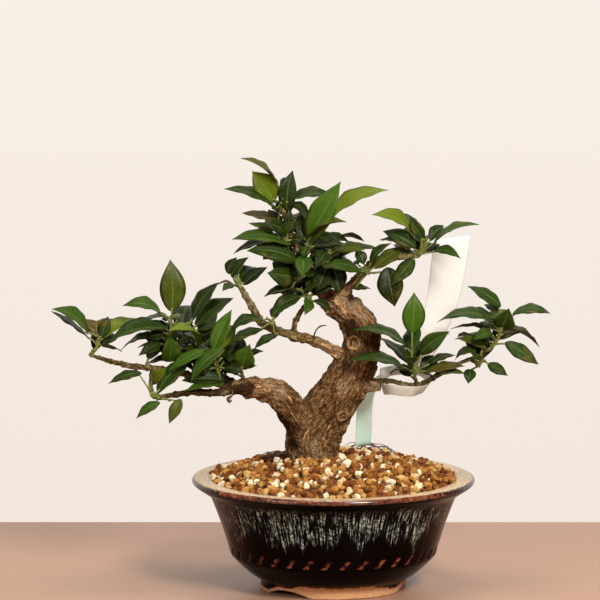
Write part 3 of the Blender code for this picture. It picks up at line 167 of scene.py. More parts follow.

# Foliage: each spray carries on from the end of the twig of its name. It has its stem's rows, a tone for
# each leaf that holds painted light and shade as well as the leaf's colour, a count of hidden leaves, a seed
# for them, and the leaves: base x and y, tip x and y, breadth shown, how far the tip lies behind the base in
# mm, and arch
SPRAYS = {
    "far_left": Spray([(96, 349, -4), (98, 342, -5), (99, 336, -5)], "MBOYDD", 4, 11, [
        (88, 335, 51, 309, 12, -6, 0.16), (96, 338, 91, 312, 14, 3), (99, 336, 105, 310, 12, 9),
        (101, 338, 137, 310, 8, -4, 0.12), (103, 344, 113, 333, -8, 18), (100, 345, 122, 352, -7, -12)]),
    "left_outer": Spray([(174, 354, 2), (171, 338, 0), (171, 324, -1), (172, 316, -1)], "OMDSODDDM", 5, 23, [
        (172, 312, 170, 260, 27, 4), (161, 313, 122, 306, 12, -6, 0.2), (167, 316, 118, 324, 8, 11),
        (167, 329, 105, 343, 14, -10, 0.12), (184, 320, 148, 314, 7, 13), (176, 338, 190, 332, -8, 15),
        (156, 335, 120, 351, 9, 8), (160, 342, 138, 356, 12, -12), (168, 362, 166, 334, 20, -9)]),
    "left_middle": Spray([(197, 358, 9), (196, 345, 7), (192, 332, 6), (189, 325, 5)], "DDDDYDD", 6, 31, [
        (187, 322, 219, 282, 10, 5), (191, 322, 234, 298, 12, -5), (199, 338, 222, 310, 10, 7),
        (201, 345, 214, 327, 8, 15), (199, 343, 163, 319, 9, -12, 0.26), (192, 350, 176, 366, 14, -12),
        (190, 334, 176, 346, 9, 16)]),
    "left_front": Spray([(217, 365, -11), (214, 355, -12)], "GYMMDMD", 4, 43, [
        (213, 350, 233, 309, 13, 4), (219, 350, 237, 325, 9, 13), (207, 350, 168, 372, 10, -6),
        (230, 350, 190, 375, 12, -12), (222, 374, 181, 384, 12, -4), (224, 384, 184, 390, 8, -12),
        (208, 362, 178, 360, 10, 10)]),
    "left_low": Spray([(152, 396, -23), (150, 388, -23), (150, 380, -22)], "MOYDDD", 3, 59, [
        (160, 402, 136, 419, 9, -5), (174, 401, 169, 423, 9, -8), (151, 379, 166, 368, 10, -12),
        (142, 373, 108, 384, 9, -4), (146, 388, 124, 396, -8, 12), (158, 400, 184, 404, 7, 9)]),
    "left_inner": Spray([(241, 367, -8), (240, 360, -8)], "MDDDDD", 3, 61, [(242, 374, 250, 344, 22, -6),
        (240, 362, 264, 351, -10, 16), (236, 366, 222, 346, 10, 8), (244, 372, 268, 366, 9, 13),
        (236, 372, 212, 364, 8, 12), (239, 358, 238, 338, 9, 18)]),
    "left_back": Spray([(186, 351, 41), (180, 340, 44), (178, 332, 44)], "", 13, 73, []),
    "middle": Spray([(236, 281, -8), (233, 275, -8)], "DSDDD", 2, 83, [(229, 275, 237, 257, 11, 4, 0.2),
        (232, 275, 249, 258, 8, -4), (243, 284, 267, 268, 12, 5), (237, 287, 222, 291, 5, -10),
        (231, 276, 219, 264, -8, 14)]),
    "middle_low": Spray([(271, 321, -13), (268, 319, -14)], "DDDD", 1, 97, [
        (266, 322, 230, 331, 9, -4, 0.22), (263, 329, 229, 345, 8, -8), (278, 335, 254, 349, 7, -6),
        (272, 316, 286, 303, 7, 12)]),
    "riser": Spray([(305, 296, 3), (302, 290, 2)], "DMMDG", 1, 101, [(298, 289, 264, 296, 9, 6),
        (301, 297, 271, 312, 12, -9), (304, 300, 287, 320, 10, 2), (309, 298, 328, 308, 9, -10),
        (304, 291, 322, 283, 10, -9)]),
    "apex": Spray([(281, 197, 5), (279, 188, 4)], "MYDDKDDDB", 6, 113, [(277, 183, 241, 158, 7, -5),
        (275, 195, 251, 171, 18, -8), (279, 213, 224, 190, 11, -8, 0.16), (276, 202, 258, 195, 5, 16),
        (285, 213, 292, 171, 16, 5), (282, 188, 302, 183, 6, 12), (287, 203, 332, 195, 10, 3),
        (289, 207, 309, 215, 9, -16), (279, 218, 242, 213, 8, 10)]),
    "crown_left": Spray([(281, 241, -1), (275, 240, -3)], "DMGDKD", 5, 127, [
        (287, 234, 261, 222, 10, -12), (273, 233, 248, 223, 6, 9), (281, 246, 231, 240, 13, -8, 0.13),
        (272, 242, 233, 254, 8, 4), (289, 258, 247, 252, 18, -12), (279, 236, 296, 220, 10, -5)]),
    "crown_right": Spray([(307, 245, 1), (309, 238, 0)], "MOMYMDD", 4, 131, [(307, 241, 341, 182, 20, -3),
        (310, 239, 346, 223, 12, -9), (313, 236, 338, 221, 7, 12), (325, 224, 388, 191, 13, 5),
        (305, 256, 302, 277, 20, -12), (303, 240, 300, 212, 12, 10), (313, 246, 348, 240, 10, -4)]),
    "crown_low": Spray([(297, 281, 3), (293, 281, 1)], "DDD", 4, 149, [(299, 276, 268, 271, 24, -14),
        (297, 286, 280, 300, 10, -12), (290, 277, 272, 262, 12, 8)]),
    "crown_centre": Spray([(327, 266, 9), (329, 256, 7), (331, 249, 6)], "KKODDD", 6, 151, [
        (325, 262, 316, 292, 22, -8), (331, 264, 341, 297, 20, -6), (335, 249, 368, 241, 11, -6),
        (336, 254, 380, 248, 10, 5), (326, 252, 315, 268, 16, -14), (330, 247, 318, 226, 14, 8)]),
    "crown_back": Spray([(319, 236, 29), (317, 226, 26)], "DD", 13, 163, [(318, 228, 352, 234, 9, 6),
        (316, 226, 300, 200, 9, 8)]),
    "shoulder": Spray([(367, 273, 0), (367, 273, -3)], "MDDDDO", 3, 173, [
        (360, 272, 312, 265, 14, -6, 0.18), (384, 275, 395, 306, 26, -4), (364, 264, 356, 249, 9, 4),
        (370, 262, 392, 243, 9, -4), (362, 280, 372, 291, 7, 9), (360, 262, 346, 262, 8, 14)]),
    "right_upper": Spray([(420, 254, 4), (424, 248, 3), (426, 241, 2)], "YSSSDDDMSSD", 5, 181, [
        (411, 231, 371, 215, 14, -7, 0.16), (421, 235, 395, 210, 7, 8), (425, 236, 411, 215, 12, 1),
        (420, 248, 393, 231, 15, -12), (416, 244, 378, 236, 8, 6), (412, 250, 388, 243, 6, -2),
        (430, 241, 444, 225, 10, 9), (434, 244, 483, 223, 10, -4, 0.13),
        (434, 251, 461, 259, 10, -8, 0.2), (415, 260, 392, 283, 15, -9), (420, 242, 384, 227, 6, 12)]),
    "right_near": Spray([(414, 369, 2), (412, 358, 1), (412, 346, 1)], "GSSSDDBDOD", 7, 191, [
        (412, 334, 414, 292, 23, 2), (407, 347, 350, 331, 12, -6, 0.18),
        (403, 367, 345, 360, 13, -8, 0.13), (420, 354, 450, 331, 17, -5), (412, 364, 398, 354, 14, -14),
        (421, 370, 434, 355, -9, 9), (424, 372, 466, 364, 10, 3), (430, 365, 453, 358, 7, 12),
        (431, 377, 466, 374, 7, -8), (410, 372, 384, 380, 7, -6, 0.2)]),
    "right_middle": Spray([(480, 363, -6), (484, 361, -7)], "DDODD", 4, 193, [
        (488, 361, 508, 376, 11, -5), (470, 369, 468, 384, 8, -6), (486, 349, 454, 339, 9, 8),
        (477, 352, 455, 361, 8, 4, 0.3), (480, 355, 462, 350, 9, -12)]),
    "far_right": Spray([(496, 342, -1), (500, 334, -2), (500, 326, -2), (500, 318, -2)],
                       "SDSSSODSBS", 7, 197, [
        (501, 307, 467, 286, 12, 4), (498, 313, 484, 304, 6, 15), (502, 328, 509, 308, 22, -8),
        (512, 314, 551, 314, 10, -3, 0.14), (494, 321, 437, 324, 12, -5, 0.18),
        (493, 318, 453, 314, 9, 11), (492, 329, 450, 329, -6, 7), (492, 332, 473, 340, 12, -13),
        (505, 329, 545, 344, 6, 7), (505, 342, 539, 365, 14, -6, 0.12)]),
}
# Tones of the hidden leaves, mostly dark: painted shade for leaves inside the sprays
HIDDEN_LEAF_SHADES = "DKDSDKOD"

# Leaves drawn anew, closer to the picture than the solids could take them: each one's place in its spray's
# row, its tone with its painted light and shade, and the leaf
REDRAWN = {
    "far_left": [(1, "B", 98, 340, 97, 322, 25, 17, 0.32), (2, "D", 101, 338, 108, 316, 8, 9)],
    "left_middle": [(0, "D", 187, 322, 219, 282, 8, 5), (1, "D", 189, 328, 234, 298, 13, 4, 0.1)],
    "left_front": [(0, "G", 213, 350, 232, 309, 12, 4, 0.05), (4, "D", 224, 380, 181, 381, 15, -4, 0.08)],
    "left_low": [(1, "O", 181, 399, 169, 424, 11, -5)],
    "far_right": [(1, "D", 498, 313, 484, 304, 6, 8), (5, "M", 495, 319, 454, 315, 8, 8)],
    "left_outer": [(0, "O", 172, 312, 170, 259, 26, 4, 0.05)],
    "middle": [(0, "K", 228, 274, 237, 257, 10, 2, 0.12), (1, "D", 231, 277, 249, 257, 9, -2),
        (2, "K", 243, 285, 268, 267, 11, 3)],
    "riser": [(1, "D", 301, 296, 270, 313, 13, -9), (4, "D", 304, 291, 320, 284, 8, -6)],
    "apex": [(0, "O", 277, 184, 240, 158, 6, -5, 0.12), (1, "Y", 274, 202, 252, 171, 26, -3, -0.02),
        (2, "D", 279, 213, 223, 189, 10, -8, 0.14), (4, "D", 287, 212, 293, 170, 17, 3),
        (6, "D", 289, 201, 333, 195, 10, 3), (7, "K", 292, 203, 310, 215, 9, -6),
        (8, "B", 281, 225, 241, 213, 7, 6, 0.05)],
    "crown_left": [(0, "K", 287, 234, 261, 223, 12, -8), (2, "M", 292, 245, 231, 240, 13, -8, 0.13),
        (3, "K", 276, 243, 233, 254, 7, 2), (4, "D", 298, 261, 246, 251, 20, -10, 0.12)],
    "crown_right": [(0, "G", 305, 244, 341, 181, 23, -4), (1, "O", 306, 240, 347, 222, 13, -18),
        (3, "Y", 328, 222, 389, 190, 12, 5), (4, "M", 303, 256, 302, 277, 19, -12, 0.05)],
    "crown_back": [(0, "K", 322, 237, 350, 243, 9, 6)],
    "crown_low": [(0, "D", 301, 277, 267, 273, 24, -12), (1, "K", 294, 289, 264, 297, 6, -8)],
    "crown_centre": [(1, "K", 333, 266, 339, 294, 21, -6, 0.05), (3, "D", 338, 252, 380, 249, 9, 3)],
    "shoulder": [(0, "S", 364, 275, 321, 267, 13, -6, 0.14), (1, "K", 387, 267, 395, 307, 26, -4, 0.05),
        (4, "K", 353, 289, 371, 289, 7, 5)],
    "right_upper": [(5, "D", 404, 247, 379, 240, 6, -2), (9, "S", 414, 258, 391, 286, 14, -9)],
}

# Leaves turned away from the eye, where the picture shows bare wall: by spray, their places in its row
TUCKED = {"far_left": (6, 8, 9), "left_low": (4,), "left_inner": (3, 7), "middle": (4, 5, 6),
          "middle_low": (4,), "apex": (9, 10), "crown_back": (7,), "crown_low": (3, 5),
          "crown_left": (8,), "right_upper": (12, 13, 14), "right_near": (12,),
          "right_middle": (5, 6, 7, 8), "far_right": (16,)}

# Where the picture shows the foliage closed: middle x and y, half width, half height, and leaves deep in it
MASSES = [(165, 336, 34, 18, 16), (206, 350, 38, 30, 34), (238, 352, 20, 24, 14), (320, 264, 30, 32, 46),
          (284, 252, 24, 22, 18), (286, 218, 8, 14, 6), (346, 250, 18, 10, 8), (305, 290, 26, 12, 8),
          (416, 240, 28, 14, 8), (415, 360, 24, 14, 8), (488, 330, 24, 18, 10), (105, 335, 14, 14, 3)]
# Dark tones of the leaves deep in closed foliage: painted shade
DEEP_LEAF_SHADES = "KDKDSKDD"
DEEP_TRIES = 40

# Label, as rows of picture x, picture y, mm behind the axis and, for the head, width in mm
LABEL_LOOP = [(380, 373, 27), (382, 382, 21), (383.5, 388, 11), (385, 389.5, 1), (391, 389.5, -6),
              (403, 391, -9), (414, 391.5, -8), (421, 390, -2), (426, 388, 6), (428, 381, 17),
              (425, 373, 25), (412, 370, 28), (396, 370, 28.5)]
LABEL_HEAD = [(414, 373, 27.4, 13.0), (424, 356, 29, 14.5), (433, 332, 30, 19.5), (443, 300, 32, 23.0),
              (449, 262, 34, 25.0), (452, 238, 36, 25.5)]
LABEL_TAIL = [(396, 371, 28.8), (384, 376, 34), (370, 388, 39), (365, 402, 41), (364, 425, 42),
              (363, 445, 43)]
LOOP_WIDTH, TAIL_WIDTH = 7.0, 11.0

# Pruning scars on the trunk: picture x, picture y, radius in mm
SCARS = [(353, 343, 5.2), (343, 416, 4.4), (341, 299, 4.6)]

# Knobs where limbs were cut or have healed: picture x and y, mm behind the axis, radius and rise in mm
KNOBS = [(327, 377, 14, 7.0, 2.4), (340, 384, 4, 6.0, 1.2), (276, 405, 3, 5.0, 2.4),
         (269, 388, -4, 6.0, 1.8), (281, 391, -2, 6.0, 1.6), (262, 399, 1, 5.0, 1.6),
         (337, 309, 20, 5.0, 1.8), (349, 300, 19, 5.0, 1.5), (333, 296, 22, 5.0, 1.4),
         (330, 348, 7, 4.5, 1.6), (374, 372, 12, 6.0, 1.2), (296, 436, 8, 7.0, 1.6),
         (330, 440, 2, 7.0, 1.4), (255, 384, -2, 4.0, 1.8), (270, 383, 2, 4.0, 1.5),
         (247, 394, -3, 3.5, 1.6), (289, 399, 5, 4.5, 1.6), (283, 412, 3, 4.0, 1.4),
         (316, 346, 3, 3.0, 1.2), (296, 338, 0, 3.0, 1.2), (306, 336, 1, 2.5, 1.0),
         (340, 356, 10, 4.0, 1.4), (358, 300, 18, 4.0, 1.3), (366, 398, 10, 6.0, 1.6),
         (352, 414, 10, 5.0, 1.2), (345, 430, 16, 6.0, 1.2), (318, 452, 2, 6.0, 1.6),
         (366, 325, 12, 7.0, 1.2)]

# Patches of bark, tan above 0 and near-black below it: partly the bark's own colour, partly painted shade in
# hollows, on the shaded flank and under the leaves, and painted light on lit tops: picture x and y, mm behind
# the axis, radius in mm, strength
TONE_AND_SHADE_PATCHES = [(348, 326, 4, 7.0, -1.3), (346, 333, 2, 5.0, -0.6), (288, 428, 4, 9.0, -0.9),
           (292, 445, 4, 8.0, -0.9), (282, 412, 4, 6.0, -0.7), (370, 340, 6, 8.0, -0.5),
           (366, 378, 8, 7.0, -0.6), (312, 444, -2, 6.0, 0.9), (316, 458, -2, 6.0, 0.8),
           (341, 387, 2, 5.0, 1.0), (354, 344, 0, 5.0, 0.5), (344, 417, -2, 5.0, 0.6),
           (280, 393, -4, 8.0, 0.7), (268, 388, -6, 7.0, 0.5), (250, 388, -8, 8.0, -0.8),
           (239, 391, -8, 7.0, -0.9), (263, 397, -4, 5.0, -0.6), (293, 410, 4, 6.0, -0.4),
           (356, 330, 2, 9.0, -0.6), (364, 352, 4, 9.0, -0.6), (350, 356, 2, 8.0, -0.5),
           (340, 366, 2, 5.0, -0.5), (322, 420, 0, 5.0, 0.5), (306, 430, 0, 6.0, 0.4),
           (338, 420, 0, 5.0, -0.4), (326, 398, 2, 5.0, 0.4), (352, 305, 10, 9.0, 0.8),
           (364, 316, 8, 8.0, 0.7), (338, 303, 14, 7.0, 0.8), (329, 418, -4, 7.0, -0.4),
           (327, 436, -4, 6.0, -0.3), (338, 402, 0, 6.0, -0.4), (170, 395, -21, 10.0, -0.7),
           (190, 392, -19, 10.0, -1.1), (212, 392, -14, 9.0, -1.2), (228, 390, -8, 6.0, -0.8),
           (308, 412, 0, 6.0, -0.3), (345, 366, 0, 6.0, -0.5), (375, 385, 6, 5.0, 0.8),
           (333, 455, -2, 5.0, 0.5)]

# Dry bits on the twigs, each as rows of picture x, picture y, mm behind the axis and radius in mm
DRY_BITS = [
    [(314, 339, 0, 0.7), (314.5, 334, -2, 0.55), (317, 329, -4, 0.5), (321, 326, -5, 0.6),
     (326.5, 325.5, -6, 0.25)],
    [(232, 390, -14, 0.5), (232.5, 395, -15, 0.5), (230, 397, -16, 1.1), (228, 399, -16, 1.2),
     (229.5, 402, -15, 0.9), (232, 400, -14, 0.4)],
    [(243, 290, -7, 0.5), (234, 285, -9, 0.5), (226, 281, -10, 0.9), (216, 285, -11, 0.3)],
    [(288, 258, 4, 0.4), (270, 230, 0, 0.4), (262, 228, -1, 0.35), (250, 224, -2, 0.2)],
]

# On the soil: where leaf litter darkens it, and each rootlet's start, heading in degrees and length in mm
LITTER = (-38, 22)
ROOTLETS = [(10, 60, 8, 30), (16, 55, -12, 32), (22, 62, 20, 24), (34, 56, 165, 30), (12, 58, -25, 26),
            (42, 50, 150, 24), (20, 58, 60, 16), (30, 60, -40, 14), (-46, 20, 30, 14), (-40, 12, -10, 12),
            (-44, 16, 70, 12), (-36, 20, 150, 12), (-50, 26, 10, 12), (-48, 22, -30, 14),
            (-34, 26, 170, 14), (-42, 28, 0, 16), (-32, 16, 120, 10)]


def seen(px, py, depth):
    """The place, in mm round the pot's axis, that shows at this pixel and lies this far behind the axis."""
    away = VIEW_DISTANCE + depth
    drop = away * math.tan(VIEW_PITCH + math.atan((py - VIEW_MIDDLE) / VIEW_FOCAL))
    reach = away * math.cos(VIEW_PITCH) + drop * math.sin(VIEW_PITCH)
    return Vector(((px - VIEW_MIDDLE) * reach / VIEW_FOCAL + VIEW_SIDE, depth, VIEW_HEIGHT - drop))


def pictured(place):
    """The pixel at which a place, in mm round the pot's axis, shows."""
    away, drop = VIEW_DISTANCE + place.y, VIEW_HEIGHT - place.z
    reach = away * math.cos(VIEW_PITCH) + drop * math.sin(VIEW_PITCH)
    return (VIEW_MIDDLE + (place.x - VIEW_SIDE) * VIEW_FOCAL / reach,
            VIEW_MIDDLE + VIEW_FOCAL * math.tan(math.atan2(drop, away) - VIEW_PITCH))


def in_frame(place):
    """From mm round the pot's axis to the frame's metres."""
    return Vector(place) * MM + POT_AXIS


def round_axis(place):
    """From the frame's metres to mm round the pot's axis."""
    return (Vector(place) - POT_AXIS) / MM


def settings(name):
    """The values that a user can change, for one group of pieces."""
    return getattr(bpy.context.scene, name)


def operation(kind, swapped=False):
    """A method that adds a Math node, with the field as its last value where the two are swapped."""
    def method(field, *others):
        return field.graph.math(kind, *((*others, field) if swapped else (field, *others)))
    return method


class Field:
    """A node's output that can be used in sums, so that a formula made of nodes reads as one."""

    def __init__(self, graph, socket):
        self.graph, self.socket = graph, socket

    __add__ = __radd__ = operation("ADD")
    __mul__ = __rmul__ = operation("MULTIPLY")
    __sub__, __rsub__ = operation("SUBTRACT"), operation("SUBTRACT", True)
    __truediv__, __pow__ = operation("DIVIDE"), operation("POWER")
    __abs__, __gt__ = operation("ABSOLUTE"), operation("GREATER_THAN")


class Graph:
    """Builds a node tree: each method adds a node with its inputs set or linked, and returns its output."""

    def __init__(self, tree, shader=None):
        self.tree, self.shader = tree, shader

    def node(self, kind, inputs=(), **options):
        node = self.tree.nodes.new(kind)
        for name, value in options.items():
            setattr(node, name, value)
        for key, value in (inputs.items() if isinstance(inputs, dict) else enumerate(inputs)):
            self.feed(node, key, value)
        return node

    def feed(self, node, key, value):
        if isinstance(value, Field):
            self.tree.links.new(value.socket, node.inputs[key])
        else:
            node.inputs[key].default_value = value

    def field(self, kind, inputs=(), output=0, **options):
        return Field(self, self.node(kind, inputs, **options).outputs[output])

    def math(self, operation, *values):
        return self.field("ShaderNodeMath", values, operation=operation)

    def vector(self, operation, *values):
        output = "Value" if operation in ("LENGTH", "DISTANCE") else "Vector"
        return self.field("ShaderNodeVectorMath", values, output, operation=operation)

    def scaled(self, vector, factor):
        return self.field("ShaderNodeVectorMath", {0: vector, "Scale": factor}, operation="SCALE")

    def stretched(self, vector, upwards):
        return self.vector("MULTIPLY", vector, (1.0, 1.0, upwards))

    def along(self, start, *steps):
        """A place reached from a start by (direction, distance) steps."""
        for direction, distance in steps:
            start = self.vector("ADD", start, self.scaled(direction, distance))
        return start

    def parts(self, vector):
        return [Field(self, output) for output in self.node("ShaderNodeSeparateXYZ", [vector]).outputs]

    def whole(self, x, y, z):
        return self.field("ShaderNodeCombineXYZ", [x, y, z])

    def step(self, value, low, high, start=0.0, end=1.0):
        """A soft step from start to end as the value goes from low to high."""
        return self.field("ShaderNodeMapRange", {"Value": value, "From Min": low, "From Max": high,
                                                 "To Min": start, "To Max": end},
                          interpolation_type="SMOOTHSTEP")

    def noise(self, vector, scale, detail=3.0, roughness=0.5, distortion=0.0, output=0):
        return self.field("ShaderNodeTexNoise", {"Vector": vector, "Scale": scale, "Detail": detail,
                                                 "Roughness": roughness, "Distortion": distortion}, output)

    def cracks(self, grain, squeeze, bend_scale, bend, scale):
        """How far each place lies from the nearest of the bent cracks that part bark into plates."""
        bent = self.noise(grain, bend_scale, 2.0, output="Color")
        bent = self.along(self.stretched(grain, squeeze), (bent, bend))
        return self.field("ShaderNodeTexVoronoi", {"Vector": bent, "Scale": scale},
                          feature="DISTANCE_TO_EDGE")

    def mix(self, factor, first, second):
        return self.field("ShaderNodeMix", {0: factor, 6: colour(first), 7: colour(second)}, 2,
                          data_type="RGBA")

    def layered(self, shade, *coats):
        """A colour with coats laid over it in turn, each a (share, colour)."""
        for share, coat in coats:
            shade = self.mix(share, shade, coat)
        return shade

    def ramp(self, factor, stops):
        node = self.node("ShaderNodeValToRGB", [factor])
        while len(node.color_ramp.elements) < len(stops):
            node.color_ramp.elements.new(1.0)
        for element, (place, shade) in zip(node.color_ramp.elements, stops):
            element.position, element.color = place, colour(shade)
        return Field(self, node.outputs["Color"])

    def attribute(self, name, output="Fac"):
        return self.field("ShaderNodeAttribute", output=output, attribute_name=name)

    def place(self):
        """The place on the piece, in the frame's metres."""
        return self.field("ShaderNodeTexCoord", output="Object")

    def dress(self, shade, relief=None, strength=1.0, distance=0.001, roughness=None):
        """Link the shader's colour and, where they are given, its bumps and its roughness."""
        self.feed(self.shader, "Base Color", shade)
        if roughness:
            self.feed(self.shader, "Roughness", roughness)
        if relief:
            bump = {"Height": relief, "Strength": strength, "Distance": distance}
            self.feed(self.shader, "Normal", self.field("ShaderNodeBump", bump, "Normal"))

    def position(self):
        return self.field("GeometryNodeInputPosition")

    def stored(self, name, kind="FLOAT"):
        """An attribute read in Geometry Nodes."""
        return self.field("GeometryNodeInputNamedAttribute", {"Name": name}, data_type=kind)

    def stored_vector(self, name):
        return self.stored(name, "FLOAT_VECTOR")

    def store(self, geometry, name, value, kind="FLOAT", domain="POINT"):
        return self.field("GeometryNodeStoreNamedAttribute",
                          {"Geometry": geometry, "Name": name, "Value": value}, data_type=kind, domain=domain)

    def with_local(self, shape):
        """The shape, with each point's place on it stored before it is moved."""
        return self.store(shape, "local", self.position(), "FLOAT_VECTOR")

    def random(self, low, high, seed):
        """A random number for each element, or a random vector if the limits are vectors."""
        if isinstance(low, tuple):
            return self.field("FunctionNodeRandomValue", {0: low, 1: high, "Seed": seed}, 0,
                              data_type="FLOAT_VECTOR")
        return self.field("FunctionNodeRandomValue", {2: low, 3: high, "Seed": seed}, 1)

    def moved(self, geometry, **where):
        return self.field("GeometryNodeSetPosition", {"Geometry": geometry, **where})

    def on_points(self, points, thing, **how):
        """The thing on every point, made real."""
        things = self.field("GeometryNodeInstanceOnPoints", {"Points": points, "Instance": thing, **how})
        return self.field("GeometryNodeRealizeInstances", [things])

    def rods(self, lines, sides):
        """Rods along the edges of a mesh, as thick as each point's radius says."""
        circle = self.field("GeometryNodeCurvePrimitiveCircle", {"Resolution": sides, "Radius": 1.0})
        return self.field("GeometryNodeCurveToMesh", {
            "Curve": self.field("GeometryNodeMeshToCurve", [lines]), "Profile Curve": circle,
            "Scale": self.stored("radius"), "Fill Caps": True})

    def joined(self, *geometries):
        node = self.node("GeometryNodeJoinGeometry")
        for geometry in geometries:
            self.feed(node, 0, geometry)
        return Field(self, node.outputs[0])

    def smooth(self, geometry):
        return self.field("GeometryNodeSetShadeSmooth", {"Geometry": geometry, "Shade Smooth": True})


def colour(value):
    """A colour with its alpha, or a node's output as it is."""
    return value if isinstance(value, Field) else (*tuple(value)[:3], 1.0)


def new_material(name, roughness=0.5, **constants):
    """A material and the graph of its nodes, with its constant values on the shader's sockets."""
    material = bpy.data.materials.new(name)
    material.use_nodes = True
    graph = Graph(material.node_tree, material.node_tree.nodes["Principled BSDF"])
    for key, value in {"roughness": roughness, **constants}.items():
        socket = key.replace("_", " ").title().replace("Ior", "IOR")
        graph.shader.inputs[socket].default_value = value
    return material, graph


def new_tree(name, sockets):
    """A Geometry Nodes tree with a Geometry input and named inputs: the graph, and the inputs by name."""
    tree = bpy.data.node_groups.new(name, "GeometryNodeTree")
    tree.interface.new_socket("Geometry", in_out="INPUT", socket_type="NodeSocketGeometry")
    for socket, kind in sockets.items():
        tree.interface.new_socket(socket, in_out="INPUT", socket_type="NodeSocket" + kind)
    tree.interface.new_socket("Geometry", in_out="OUTPUT", socket_type="NodeSocketGeometry")
    graph = Graph(tree)
    source = tree.nodes.new("NodeGroupInput")
    return graph, {output.name: Field(graph, output) for output in source.outputs if output.name}


def end_tree(graph, geometry, material, second=None, second_mark=None):
    """The tree's end: all is made real and takes its material, or a second one where it is marked."""
    real = graph.field("GeometryNodeRealizeInstances", [geometry])
    dressed = graph.field("GeometryNodeSetMaterial", {"Geometry": real, "Material": material})
    if second:
        dressed = graph.field("GeometryNodeSetMaterial", {
            "Geometry": dressed, "Selection": graph.stored(second_mark, "BOOLEAN"), "Material": second})
    sink = graph.tree.nodes.new("NodeGroupOutput")
    graph.feed(sink, 0, dressed)


def made_plain(thing):
    """The mesh that the object's modifiers make, which becomes the object's own, without the modifiers."""
    evaluated = bpy.context.evaluated_depsgraph_get()
    evaluated.update()
    mesh = bpy.data.meshes.new_from_object(thing.evaluated_get(evaluated))
    thing.modifiers.clear()
    thing.data = mesh
    return mesh


def grown(thing, graph, values, kept=()):
    """Give the object the mesh that the tree makes, without the attributes that no material reads."""
    modifier = thing.modifiers.new(graph.tree.name, "NODES")
    modifier.node_group = graph.tree
    for item in graph.tree.interface.items_tree:
        if item.in_out == "INPUT" and item.name in values:
            modifier[item.identifier] = values[item.name]
    mesh = made_plain(thing)
    for attribute in list(mesh.attributes):
        needed = attribute.is_required or attribute.is_internal or attribute.name in kept
        if not needed and attribute.name not in ("material_index", "sharp_face", "sharp_edge"):
            mesh.attributes.remove(attribute)


def new_object(name, mesh):
    thing = bpy.data.objects.new(name, mesh)
    bpy.context.scene.collection.objects.link(thing)
    return thing


def mesh_object(name, vertices, faces=(), edges=()):
    """An object from vertices in mm round the pot's axis, smooth, with its faces turned outwards."""
    mesh = bpy.data.meshes.new(name)
    mesh.from_pydata([in_frame(v) for v in vertices], list(edges), list(faces))
    if faces:
        whole = bmesh.new()
        whole.from_mesh(mesh)
        bmesh.ops.recalc_face_normals(whole, faces=whole.faces)
        whole.to_mesh(mesh)
        whole.free()
        mesh.polygons.foreach_set("use_smooth", [True] * len(mesh.polygons))
    return new_object(name, mesh)


def add_attribute(mesh, name, values):
    """Store a number or a vector on each vertex."""
    if isinstance(values[0], float):
        mesh.attributes.new(name, "FLOAT", "POINT").data.foreach_set("value", values)
    else:
        flat = [part for value in values for part in value]
        mesh.attributes.new(name, "FLOAT_VECTOR", "POINT").data.foreach_set("vector", flat)


def ring_faces(first, second, count):
    """Faces between two closed rings of `count` vertices, by the first vertex of each ring."""
    return [(first + k, second + k, second + (k + 1) % count, first + (k + 1) % count) for k in range(count)]


def kd_tree(places):
    tree = KDTree(len(places))
    for i, place in enumerate(places):
        tree.insert(place, i)
    tree.balance()
    return tree


def tree_of(vertices, faces):
    return BVHTree.FromPolygons([tuple(v) for v in vertices], [tuple(f) for f in faces])


def surface_of(mesh):
    """A mesh of the frame as a tree of its faces, in mm round the pot's axis."""
    return tree_of([round_axis(v.co) for v in mesh.vertices], [p.vertices for p in mesh.polygons])


def joins_body(piece, slot, *nodes):
    """A finished piece moves with the whole tree and stands for the solids of these names."""
    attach(piece, "root")
    if nodes:
        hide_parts(*nodes)


def smooth_route(points, step):
    """Points about `step` mm apart on a smooth curve through rows of x, y, z and, if given, a radius."""
    rows = [Vector(p) for p in points]
    rows = [rows[0] * 2 - rows[1], *rows, rows[-1] * 2 - rows[-2]]
    route = [rows[1]]
    for a, b, c, d in zip(rows, rows[1:], rows[2:], rows[3:]):
        pieces = max(1, round((c - b).length / step))
        for i in range(1, pieces + 1):
            t = i / pieces
            route.append((b * 2 + (c - a) * t + (a * 2 - b * 5 + c * 4 - d) * t * t
                          + (b * 3 - a - c * 3 + d) * t ** 3) / 2)
    return route


def in_round(rows):
    """Seen rows of picture x, picture y, depth and a radius or width if given, as rows in the round."""
    return [(*seen(*row[:3]), *row[3:]) for row in rows]


def placed(rows, step):
    """Seen rows as a smooth route in the round."""
    return smooth_route(in_round(rows), step)


def smoothstep(value, low, high):
    share = min(1.0, max(0.0, (value - low) / (high - low)))
    return share * share * (3 - 2 * share)


def wrapped(turn, span):
    """The turn brought within half a span of zero."""
    return (turn + span / 2) % span - span / 2


class PotSettings(bpy.types.PropertyGroup):
    steps: IntProperty(name="Steps", description="Divisions round the pot", default=540, min=96, max=720)
    marks: IntProperty(name="Marks", description="Slanted marks cut round the shoulder", default=36, min=0)
    mark_depth: FloatProperty(name="Mark depth", description="How deep each mark is cut, in mm", default=0.9,
                              min=0.0, max=2.0)
    glaze: FloatVectorProperty(name="Glaze", description="Main glaze", subtype="COLOR",
                               default=(0.0012, 0.0004, 0.0003))
    streaks: FloatVectorProperty(name="Streaks", description="Pale strokes that ran down the glaze",
                                 subtype="COLOR", default=(0.50, 0.53, 0.42))
    rust: FloatVectorProperty(name="Rust", description="Where the glaze breaks thin over an edge",
                              subtype="COLOR", default=(0.075, 0.017, 0.006))
    clay: FloatVectorProperty(name="Clay", description="Bare clay of the foot", subtype="COLOR",
                              default=(0.66, 0.37, 0.195))


